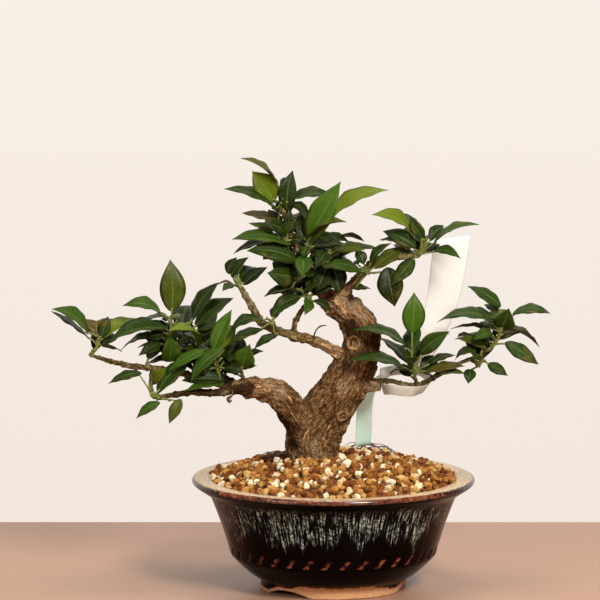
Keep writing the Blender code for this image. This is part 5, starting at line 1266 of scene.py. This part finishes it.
def leaf_mesh(leaf, extra=0.0):
    """The leaf's solid, with its stalk: (vertices, faces), `extra` mm fatter for trying its place."""
    along, across, out = blade_frame(leaf)
    length = (leaf.tip - leaf.base).length
    line = (leaf.base - leaf.root).normalized()
    side = (across - line * across.dot(line)).normalized() * (STALK_WIDTH / 2 + extra)
    above = side.cross(line).normalized() * (STALK_WIDTH / 2 + extra)
    sections = [(leaf.root, side, above)]
    if (leaf.base - leaf.root).length > LONG_STALK:
        sections.append((leaf.base, side, above))
    for share, breadth in leaf.stations:
        rise = out * leaf.arch * length * 4 * share * (1 - share)
        half = across * (leaf.width / 2 * breadth + extra)
        sections.append((leaf.base.lerp(leaf.tip, share) + rise, half, out * (BLADE_THICKNESS / 2 + extra)))
    vertices = []
    for middle, half, thick in sections:
        vertices += [middle - half + thick, middle + half + thick,
                     middle + half - thick, middle - half - thick]
    vertices.append(leaf.tip + along * extra)
    tip = len(vertices) - 1
    faces = [(3, 2, 1, 0)]
    for a in range(0, tip - 4, 4):
        for k in range(4):
            b = (k + 1) % 4
            faces += [(a + k, a + b, a + b + 4), (a + k, a + b + 4, a + k + 4)]
    faces += [(tip - 4 + k, tip - 4 + (k + 1) % 4, tip) for k in range(4)]
    return vertices, faces


def turned(leaf, turn):
    """The leaf turned about its stalk's root."""
    return leaf._replace(base=leaf.root + turn @ (leaf.base - leaf.root),
                         tip=leaf.root + turn @ (leaf.tip - leaf.root), normal=turn @ leaf.normal)


def settle(leaf, foreign, own, swings, crossing_allowed):
    """Swing a leaf until it is clear of other pieces and, if it can be, of its own spray's leaves."""
    clear_of_foreign = None
    across = blade_frame(leaf)[1]
    for yaw, pitch in swings:
        turn = Quaternion((0, 0, 1), math.radians(yaw)) @ Quaternion(across, math.radians(pitch))
        trial = turned(leaf, turn)
        fat = tree_of(*leaf_mesh(trial, CLEARANCE))
        if any(fat.overlap(tree) for tree in foreign):
            continue
        if clear_of_foreign is None and crossing_allowed:
            clear_of_foreign = trial
        free = trial._replace(root=trial.root.lerp(trial.base, OWN_ROOT_SHARE))
        slim = tree_of(*leaf_mesh(free, OWN_CLEARANCE))
        if not any(slim.overlap(tree) for tree in own):
            return trial
    return clear_of_foreign


def samples_of(route):
    """Points close together along a stem, from where leaves may grow: past the join with the wood."""
    return [a.lerp(b, i / STEM_SAMPLES) for a, b in zip(route[1:], route[2:]) for i in range(STEM_SAMPLES)]


def rooted(samples, index, order):
    """Where a leaf's stalk leaves the stem: each a little further back, so that no two share a place."""
    spacing = max((samples[1] - samples[0]).length, 0.01)
    back = index - round(STALK_STEP * (order % 5) / spacing)
    return samples[max(back, min(order, len(samples) - 1))]


def seen_leaf(row, route, order):
    """A leaf from its row: its depth comes from the stem, and its roll from the breadth that shows."""
    samples = samples_of(route)
    looks = seen(row.base_x, row.base_y, route[0].y)
    index = min(range(len(samples)), key=lambda i: math.hypot(samples[i].x - looks.x, samples[i].z - looks.z))
    near, root = samples[index], rooted(samples, index, order)
    base = seen(row.base_x, row.base_y, near.y + row.reach * 0.12)
    tip = seen(row.tip_x, row.tip_y, base.y + row.reach)
    length = (tip - base).length
    if (base - root).length < SHORTEST_STALK:
        base = root + (tip - root).normalized() * SHORTEST_STALK
    shown = abs(row.shown) * MM_PER_PIXEL
    width = min(max(length * WIDTH_SHARE, shown * 1.02, NARROWEST), BROADEST)
    roll = math.asin(min(1.0, shown / width)) - VIEW_PITCH
    if row.shown < 0:
        roll = -roll - 2 * VIEW_PITCH
    normal = Vector((0, -math.sin(roll), math.cos(roll)))
    if abs((tip - base).normalized().dot(normal)) > 0.8:
        normal = Vector((0, -1, 0.2))
    return Blade(root, base, tip, normal, width, row.arch, SEEN_STATIONS)


def filled_leaf(route, draw, order):
    """A leaf that the picture hides: somewhere on the stem, pointing away from the eye."""
    turn = draw.uniform(0.02, 0.98) * math.pi
    along = Vector((math.cos(turn), math.sin(turn), draw.uniform(-0.25, 0.75))).normalized()
    samples = samples_of(route)
    root = rooted(samples, draw.randrange(len(samples)), order)
    base = root + along * draw.uniform(4.0, 7.0)
    length = draw.uniform(*FILL_LENGTHS)
    normal = Vector((draw.uniform(-0.4, 0.4), draw.uniform(-0.6, 0.1), 1.0)).normalized()
    return Blade(root, base, base + along * length, normal, length * WIDTH_SHARE, draw.uniform(0.06, 0.18),
                 FILL_STATIONS)


def tucked(leaf):
    """The leaf turned away from the eye, leaning towards the nearest closed foliage."""
    px, py = pictured(leaf.root)
    x, y = min(((mass[0] - px, mass[1] - py) for mass in MASSES), key=lambda gap: math.hypot(*gap))
    lean = 0.4 / max(math.hypot(x, y), 1.0)
    along = (leaf.tip - leaf.base).normalized()
    return turned(leaf, along.rotation_difference(Vector((x * lean, 0.9, -y * lean)).normalized()))


def in_mass(px, py):
    return any(math.hypot((px - x) / (wide + 3), (py - y) / (high + 3)) < 1 for x, y, wide, high, _ in MASSES)


def deep_leaf(mass, samples, draw):
    """A leaf deep in a closed mass of foliage, from a twig near by to a place that shows inside the mass."""
    turn, out = draw.uniform(0, TURN), math.sqrt(draw.random())
    px, py = mass[0] + mass[2] * out * math.cos(turn), mass[1] + mass[3] * out * math.sin(turn)
    near = [(name, root) for name, root, x, y in samples if 20 < math.hypot(x - px, y - py) < 50]
    if not near:
        return None, None
    name, root = draw.choice(near)
    tip = seen(px, py, root.y + draw.uniform(-5.0, 20.0))
    if not all(in_mass(*pictured(root.lerp(tip, share))) for share in (0.3, 0.5, 0.7)):
        return None, None
    along = (tip - root).normalized()
    base = root + along * draw.uniform(3.5, 6.0)
    normal = Vector((draw.uniform(-0.5, 0.5), -draw.uniform(0.3, 1.2), 0.9))
    normal = (normal - along * normal.dot(along)).normalized()
    width = min(max((tip - base).length * WIDTH_SHARE, NARROWEST), BROADEST)
    return name, Blade(root, base, tip, normal, width, draw.uniform(0.06, 0.18), FILL_STATIONS)


def reach_of(leaf):
    """The middle of a leaf's blade and half its length."""
    return leaf.base.lerp(leaf.tip, 0.5), (leaf.tip - leaf.base).length / 2


def has_room(leaf, things):
    """Whether a leaf crosses none of the things near it, each a (middle, reach, tree)."""
    middle, reach = reach_of(leaf)
    fat = tree_of(*leaf_mesh(leaf._replace(root=leaf.root.lerp(leaf.base, 0.7)), CLEARANCE))
    return not any((middle - other).length < reach + size and fat.overlap(tree)
                   for other, size, tree in things)


def stem_route(name, spray):
    """The green stem's rows: on from the twig's flat end, a gap away from it, then along its own."""
    before, end = placed(TWIGS[name], TWIG_STEP)[-2:]
    along, radius = (end.xyz - before.xyz).normalized(), end.w
    rows = [(*(end.xyz + along * GAP), radius), (*(end.xyz + along * (GAP + 2.5)), radius * 0.95)]
    for i, row in enumerate(spray.stem):
        rows.append((*seen(*row), radius * (0.9 - 0.25 * (i + 1) / len(spray.stem))))
    return smooth_route(rows, STEM_STEP)


def stem_tree(route):
    """A square rod along the stem, for trying leaves against."""
    vertices, faces = [], []
    for row in route:
        vertices += [row.xyz + Vector(d) * row.w for d in ((1, 0, 0), (0, 1, 0), (-1, 0, 0), (0, -1, 0))]
    for a in range(0, len(vertices) - 4, 4):
        faces += [(a + k, a + (k + 1) % 4, a + (k + 1) % 4 + 4, a + k + 4) for k in range(4)]
    return tree_of(vertices, faces)


def all_leaves(routes):
    """Every leaf of every spray with its tone, settled as in the solids: {spray: [(blade, tone)]}."""
    fixed = [surface_of(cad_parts[node].data) for node in ("trunk", "label")]
    lines = {name: [row.xyz for row in rows] for name, rows in routes.items()}
    stems = {name: stem_tree(rows) for name, rows in routes.items()}
    leaves, trees = {name: [] for name in routes}, {name: [] for name in routes}

    def grow(name, leaf, tone, swings, crossing_allowed):
        foreign = fixed + [tree for other, tree in stems.items() if other != name]
        foreign += [tree for other, group in trees.items() if other != name for tree in group]
        settled = settle(leaf, foreign, trees[name], swings, crossing_allowed)
        if settled:
            leaves[name].append((settled, LEAF_TONES_AND_SHADES[tone]))
            trees[name].append(tree_of(*leaf_mesh(settled)))
        return settled

    for name, spray in SPRAYS.items():
        for order, (row, tone) in enumerate(zip(spray.leaves, spray.tones)):
            grow(name, seen_leaf(Leaf(*row), lines[name], order), tone, SWINGS, True)
    for name, spray in SPRAYS.items():
        draw = random.Random(spray.seed)
        for order in range(spray.fill):
            tone = HIDDEN_LEAF_SHADES[(order + spray.seed) % len(HIDDEN_LEAF_SHADES)]
            for _ in range(FILL_TRIES):
                if grow(name, filled_leaf(lines[name], draw, order + 2), tone, SWINGS[:FILL_SWINGS], False):
                    break

    finer = [(name, order, seen_leaf(Leaf(*row), lines[name], order), LEAF_TONES_AND_SHADES[tone])
             for name, rows in REDRAWN.items() for order, tone, *row in rows]
    finer += [(name, order, tucked(leaves[name][order][0]), leaves[name][order][1])
              for name, orders in TUCKED.items() for order in orders if order < len(leaves[name])]
    for name, order, leaf, tone in finer:
        leaves[name][order] = (leaf, tone)
        trees[name][order] = tree_of(*leaf_mesh(leaf))

    samples = []
    for name, line in lines.items():
        wood = [row.xyz for row in placed(TWIGS[name], LIMB_STEP)]
        samples += [(name, place, *pictured(place))
                    for place in wood[len(wood) // 2:] + samples_of(line)[::6]]
    things = [(Vector(), math.inf, tree) for tree in fixed]
    for name, group in leaves.items():
        things += [(*reach_of(leaf), tree) for (leaf, _), tree in zip(group, trees[name])]
    draw = random.Random(5)
    for mass in MASSES:
        for order in range(mass[4]):
            for _ in range(DEEP_TRIES):
                name, leaf = deep_leaf(mass, samples, draw)
                if leaf and has_room(leaf, things):
                    leaves[name].append((leaf, LEAF_TONES_AND_SHADES[DEEP_LEAF_SHADES[order % len(DEEP_LEAF_SHADES)]]))
                    things.append((*reach_of(leaf), tree_of(*leaf_mesh(leaf))))
                    break
    return leaves


def leaf_tree():
    """Leaves and their stalks on marked points, with buds at their roots, and stems along the edges."""
    graph, given = new_tree("leafy_spray", {
        "Thickness": "Float", "Fold": "Float", "Recurve": "Float", "Wave": "Float", "Stalk Radius": "Float",
        "Leaf Material": "Material", "Stem Material": "Material"})
    step, stored = graph.step, graph.stored
    thickness, stalk_radius = given["Thickness"], given["Stalk Radius"]
    split = graph.node("GeometryNodeSeparateGeometry", {
        "Geometry": given["Geometry"], "Selection": stored("length") > 0.0}, domain="POINT")
    points, lines = (Field(graph, split.outputs[name]) for name in ("Selection", "Inverted"))

    def placed_parts(shape, place, is_stem=True):
        """The shape on every leaf's point, with each of its points at its place."""
        parts = graph.moved(graph.on_points(points, shape), Position=place)
        return graph.store(parts, "is_stem", is_stem, "BOOLEAN", "FACE")

    x, y, _ = graph.parts(graph.position())
    even = x + 0.5
    eased = 0.5 - graph.math("COSINE", even * math.pi) * 0.5
    share, sideways = even * 0.55 + eased * 0.45, y * 2.0
    swelling = graph.math("MAXIMUM", graph.math("SINE", share ** 0.84 * math.pi), 0.0)
    outline = swelling ** (share * 0.42 + 0.74)
    faces = []
    for side in (0.0, 1.0):
        grid = graph.field("GeometryNodeMeshGrid", {
            "Size X": 1.0, "Size Y": 1.0, "Vertices X": 17, "Vertices Y": 7})
        for name, value in (("u", share), ("v", sideways), ("w", outline), ("side", side)):
            grid = graph.store(grid, name, value)
        crown = (1.0 - sideways * sideways) * outline * (0.05 - 0.1 * side)
        grid = graph.moved(grid, Position=graph.whole(share, sideways * outline * 0.5, crown))
        faces.append(graph.field("GeometryNodeFlipFaces", [grid]) if side else grid)
    template = graph.field("GeometryNodeMergeByDistance", {
        "Geometry": graph.joined(*faces), "Distance": 0.0001})

    u, v, w, side, length, width, phase = map(stored, ("u", "v", "w", "side", "length", "width", "phase"))
    base, root, rib, across, out = map(graph.stored_vector, ("base", "root", "rib", "across", "out"))
    half = width * w * 0.5
    arch = stored("arch") * length * u * (1.0 - u) * 4.0
    fold = given["Fold"] * stored("folding") * half * abs(v)
    recurve = given["Recurve"] * half * v * v
    wave = graph.math("SINE", u * 19.0 + phase + v * 1.3) * given["Wave"] * half * v * v
    twist = (u - 0.3) * stored("twist") * half * v
    sickle = stored("sickle") * length * u * (1.0 - u)
    thick = (0.5 - side) * thickness * (1.0 - v * v * 0.75) * step(u, 1.0, 0.7, 0.4, 1.0)
    ribbed = step(abs(v), 0.3, 0.0) * side * thickness * -0.5
    place = graph.along(base, (rib, length * u), (across, half * v + sickle),
                        (out, arch + fold - recurve + wave + twist + thick + ribbed))
    blades = placed_parts(template, place, False)

    sides, ups, line = map(graph.stored_vector, ("stalk_side", "stalk_up", "stalk_line"))
    rod = graph.field("GeometryNodeMeshCylinder", {
        "Vertices": 6, "Side Segments": 5, "Radius": 1.0, "Depth": 1.0}, fill_type="TRIANGLE_FAN")
    x, y, z = graph.parts(graph.stored_vector("local"))
    run = z + 0.5
    end = graph.along(base, (rib, length * 0.10), (out, length * 0.012))
    middle = graph.field("ShaderNodeMix", {0: run, 4: root, 5: end}, 1, data_type="VECTOR")
    girth = stalk_radius * (step(run, 0.0, 0.2, 1.5, 1.0) - step(run, 0.75, 1.0) * 0.55)
    bow = graph.math("SINE", run * math.pi) * length * 0.02
    stalks = placed_parts(graph.with_local(rod), graph.along(
        middle, (sides, x * girth * 1.15), (ups, y * girth + bow)))

    ball = graph.field("GeometryNodeMeshIcoSphere", {"Radius": 1.0, "Subdivisions": 2})
    bud = stalk_radius * (1.5 + graph.math("SINE", phase) * 0.35)
    buds = placed_parts(graph.with_local(ball), graph.along(
        root, (ups, stalk_radius * 2.4), (line, stalk_radius * 1.2), (sides, x * bud * 0.8),
        (line, y * bud * 0.8), (ups, z * bud * 1.35)))

    stem = graph.store(graph.rods(lines, 9), "is_stem", True, "BOOLEAN", "FACE")
    smooth = graph.smooth(graph.joined(blades, stalks, buds, stem))
    end_tree(graph, smooth, given["Leaf Material"], given["Stem Material"], "is_stem")
    return graph


def leaf_material():
    """Waxy citrus leaves: each has its tone, which holds painted light and shade as well as its colour, a
    pale rib, faint side veins and a duller, paler underside.
    """
    material, graph = new_material("citrus_leaf", specular_ior_level=0.11)
    step, noise_at, place = graph.step, graph.noise, graph.place()
    tone, u, v, side = map(graph.attribute, ("tone", "u", "v", "side"))
    mottle, away, under = noise_at(place, 150.0, 4.0, 0.6), abs(v), side > 0.5
    # The ramp's near-black stops are painted shade for leaves in shade; its lighter greens are partly painted
    # light.
    shade = graph.ramp(tone + (mottle - 0.5) * 0.2, [
        (0.0, (0.058, 0.036, 0.006)), (0.16, (0.046, 0.060, 0.004)), (0.30, (0.006, 0.010, 0.001)),
        (0.42, (0.012, 0.024, 0.0022)), (0.58, (0.023, 0.052, 0.004)), (0.74, (0.038, 0.088, 0.005)),
        (0.88, (0.075, 0.108, 0.004)), (1.0, (0.094, 0.124, 0.005))])
    veins = graph.math("FRACT", u * 8.5 - away * 2.1 + 4.0)
    vein = step(abs(veins - 0.5), 0.11, 0.02) * step(away, 0.95, 0.6) * step(u, 0.95, 0.8)
    rib = step(away, 0.085, 0.02) * step(u, 1.0, 0.2, 0.35, 1.0)
    worn = step(noise_at(place, 75.0, 3.0, 0.6) + away * 0.12 + u * 0.06, 0.66, 0.80)
    shade = graph.layered(
        shade, (vein * 0.10, (0.16, 0.24, 0.045)), (rib * 0.32, (0.19, 0.25, 0.05)),
        (step(away, 0.86, 1.0) * 0.34, (0.17, 0.18, 0.035)), (worn * 0.45, (0.10, 0.072, 0.016)))
    shade = graph.mix(under, shade, graph.mix(0.5, shade, (0.070, 0.098, 0.028)))
    relief = noise_at(place, 900.0, 2.0) * 0.25 - vein * 0.5 - rib * 0.9
    graph.dress(shade, relief, 0.45, 0.0006, 0.36 + (mottle - 0.5) * 0.3 + under * 0.25)
    return material


def stem_material():
    material, graph = new_material("green_stem", 0.5)
    mottle = graph.noise(graph.place(), 260.0, 4.0, 0.65)
    shade = graph.ramp(mottle, [(0.3, (0.05, 0.065, 0.010)), (0.5, (0.11, 0.135, 0.019)),
                                (0.68, (0.20, 0.185, 0.045)), (0.8, (0.22, 0.13, 0.05))])
    graph.dress(shade, mottle, 0.4, 0.0004)
    return material


def spray_points(name, rows, leaves, draw):
    """The spray's points: the stem's edge line, and a point for each leaf with all that shapes it."""
    stem, points = smooth_route(rows, SPRAY_STEP), []
    for leaf, tone in leaves:
        along, across, out = blade_frame(leaf)
        line = (leaf.base - leaf.root).normalized()
        side = (across - line * across.dot(line)).normalized()
        up = line.cross(side)
        points.append({
            "length": (leaf.tip - leaf.base).length * MM, "width": leaf.width * MM, "arch": leaf.arch,
            "tone": tone + draw.uniform(-0.04, 0.04), "phase": draw.uniform(0, 6.28),
            "folding": draw.uniform(0.4, 1.7), "twist": draw.uniform(-0.5, 0.5),
            "sickle": draw.uniform(-0.22, 0.22), "base": in_frame(leaf.base), "root": in_frame(leaf.root),
            "rib": along, "across": -across, "out": out, "stalk_side": side,
            "stalk_up": up * (-1 if up.dot(out) < 0 else 1), "stalk_line": line})
    thing = mesh_object(name + "_leaves", [row.xyz for row in stem] + [leaf.base for leaf, _ in leaves],
                        edges=[(i, i + 1) for i in range(len(stem) - 1)])
    add_attribute(thing.data, "radius", [row.w * MM for row in stem] + [0.0] * len(leaves))
    for key in points[0]:
        values = [point[key] for point in points]
        none = 0.0 if isinstance(values[0], float) else Vector()
        add_attribute(thing.data, key, [none] * len(stem) + values)
    return thing


class BONSAI_OT_grow_leaves(bpy.types.Operator):
    """Grow every spray: its green stem, and its arched leaves on their stalks"""
    bl_idname = "bonsai.grow_leaves"
    bl_label = "Leaves"

    def execute(self, context):
        values = settings("bonsai_leaf")
        routes = {name: stem_route(name, spray) for name, spray in SPRAYS.items()}
        leaves, graph = all_leaves(routes), leaf_tree()
        given = {"Thickness": values.thickness * MM, "Fold": values.fold, "Recurve": values.recurve,
                 "Wave": values.wave, "Stalk Radius": STALK_RADIUS * MM, "Leaf Material": leaf_material(),
                 "Stem Material": stem_material()}
        for name, spray in SPRAYS.items():
            piece = spray_points(name, routes[name], leaves[name], random.Random(spray.seed + 1))
            grown(piece, graph, given, kept=("tone", "u", "v", "side"))
            joins_body(piece, "leaf", name + "_spray")
        return {"FINISHED"}


class BONSAI_OT_set_stage(bpy.types.Operator):
    """Lay the pale floor, hang the soft lights and set the camera at the picture's viewing angle"""
    bl_idname = "bonsai.set_stage"
    bl_label = "Stage"

    def execute(self, context):
        values, scene = settings("bonsai_stage"), context.scene
        material, graph = new_material("plain_floor", 0.45)
        x, y, z = graph.parts(graph.place())
        shade = graph.noise(graph.whole(x, y * 9.0, z), 9.0, 4.0)
        graph.dress(graph.mix(shade, [c * 0.92 for c in values.floor], values.floor))
        slab = bmesh.new()
        bmesh.ops.create_cube(slab, size=1.0)
        whole = Matrix.Translation((0.0, -0.53, -0.02)) @ Matrix.Diagonal((3.0, 1.54, 0.04, 1))
        bmesh.ops.transform(slab, matrix=whole, verts=slab.verts)
        floor = bpy.data.meshes.new("floor")
        slab.to_mesh(floor)
        slab.free()
        floor.materials.append(material)
        new_object("floor", floor)

        world = bpy.data.worlds.new("studio")
        world.use_nodes = True
        air = Graph(world.node_tree)
        _, deep, up = air.parts(air.field("ShaderNodeTexCoord", output="Generated"))
        wall = air.mix(air.step(up, -0.22, 0.02), (0.896, 0.791, 0.716), (0.956, 0.903, 0.831))
        room = air.mix(air.step(up, -0.3, 0.9), (0.05, 0.04, 0.035), values.room)
        shade = air.mix(air.step(deep, 0.35, 0.75), room, wall)
        air.feed(world.node_tree.nodes["Background"], "Color", shade)
        scene.world = world

        middle = Vector((0.0, 0.0, 0.14))
        for name, share, size, place in (
                ("key", 1.0, 0.4, (0.50, -1.10, 0.95)), ("fill", 0.25, 0.8, (-0.9, -1.0, 0.7)),
                ("top", 0.33, 0.6, (0.05, 0.0, 1.35))):
            lamp = bpy.data.lights.new(name, "AREA")
            lamp.shape, lamp.size, lamp.energy = "DISK", size, values.key_power * share
            lamp.color = (1.0, 0.95, 0.88)
            light = new_object(name, lamp)
            light.location = place
            light.rotation_euler = (middle - Vector(place)).to_track_quat("-Z", "Y").to_euler()

        lens = bpy.data.cameras.new("camera")
        lens.sensor_width, lens.clip_end = SENSOR_WIDTH, 60.0
        lens.lens = VIEW_FOCAL * SENSOR_WIDTH / (2 * VIEW_MIDDLE)
        camera = new_object("camera", lens)
        camera.location = in_frame((VIEW_SIDE, -VIEW_DISTANCE, VIEW_HEIGHT))
        camera.rotation_euler = (math.pi / 2 - VIEW_PITCH, 0.0, 0.0)
        scene.camera = camera
        scene.view_settings.view_transform = "Standard"
        return {"FINISHED"}


GROUPS = {"bonsai_pot": PotSettings, "bonsai_soil": SoilSettings, "bonsai_wood": WoodSettings,
          "bonsai_leaf": LeafSettings, "bonsai_label": LabelSettings, "bonsai_stage": StageSettings}
OPERATORS = (BONSAI_OT_set_stage, BONSAI_OT_glaze_pot, BONSAI_OT_finish_net, BONSAI_OT_fill_soil,
             BONSAI_OT_grow_wood, BONSAI_OT_hang_label, BONSAI_OT_grow_leaves)


class BONSAI_PT_panel(bpy.types.Panel):
    """The bonsai's pieces and what can be changed about them"""
    bl_label = "Bonsai"
    bl_idname = "BONSAI_PT_panel"
    bl_space_type = "VIEW_3D"
    bl_region_type = "UI"
    bl_category = "Bonsai"

    def draw(self, context):
        for name, group in GROUPS.items():
            box = self.layout.box()
            for key in group.__annotations__:
                box.prop(getattr(context.scene, name), key)
        for operator in OPERATORS:
            self.layout.operator(operator.bl_idname)


def register():
    for name, group in GROUPS.items():
        bpy.utils.register_class(group)
        setattr(bpy.types.Scene, name, PointerProperty(type=group))
    for cls in (*OPERATORS, BONSAI_PT_panel):
        bpy.utils.register_class(cls)


def unregister():
    for cls in (BONSAI_PT_panel, *reversed(OPERATORS)):
        bpy.utils.unregister_class(cls)
    for name, group in reversed(GROUPS.items()):
        delattr(bpy.types.Scene, name)
        bpy.utils.unregister_class(group)


def main():
    register()
    for operator in OPERATORS:
        group, name = operator.bl_idname.split(".")
        getattr(getattr(bpy.ops, group), name)()


if __name__ == "__main__":
    main()
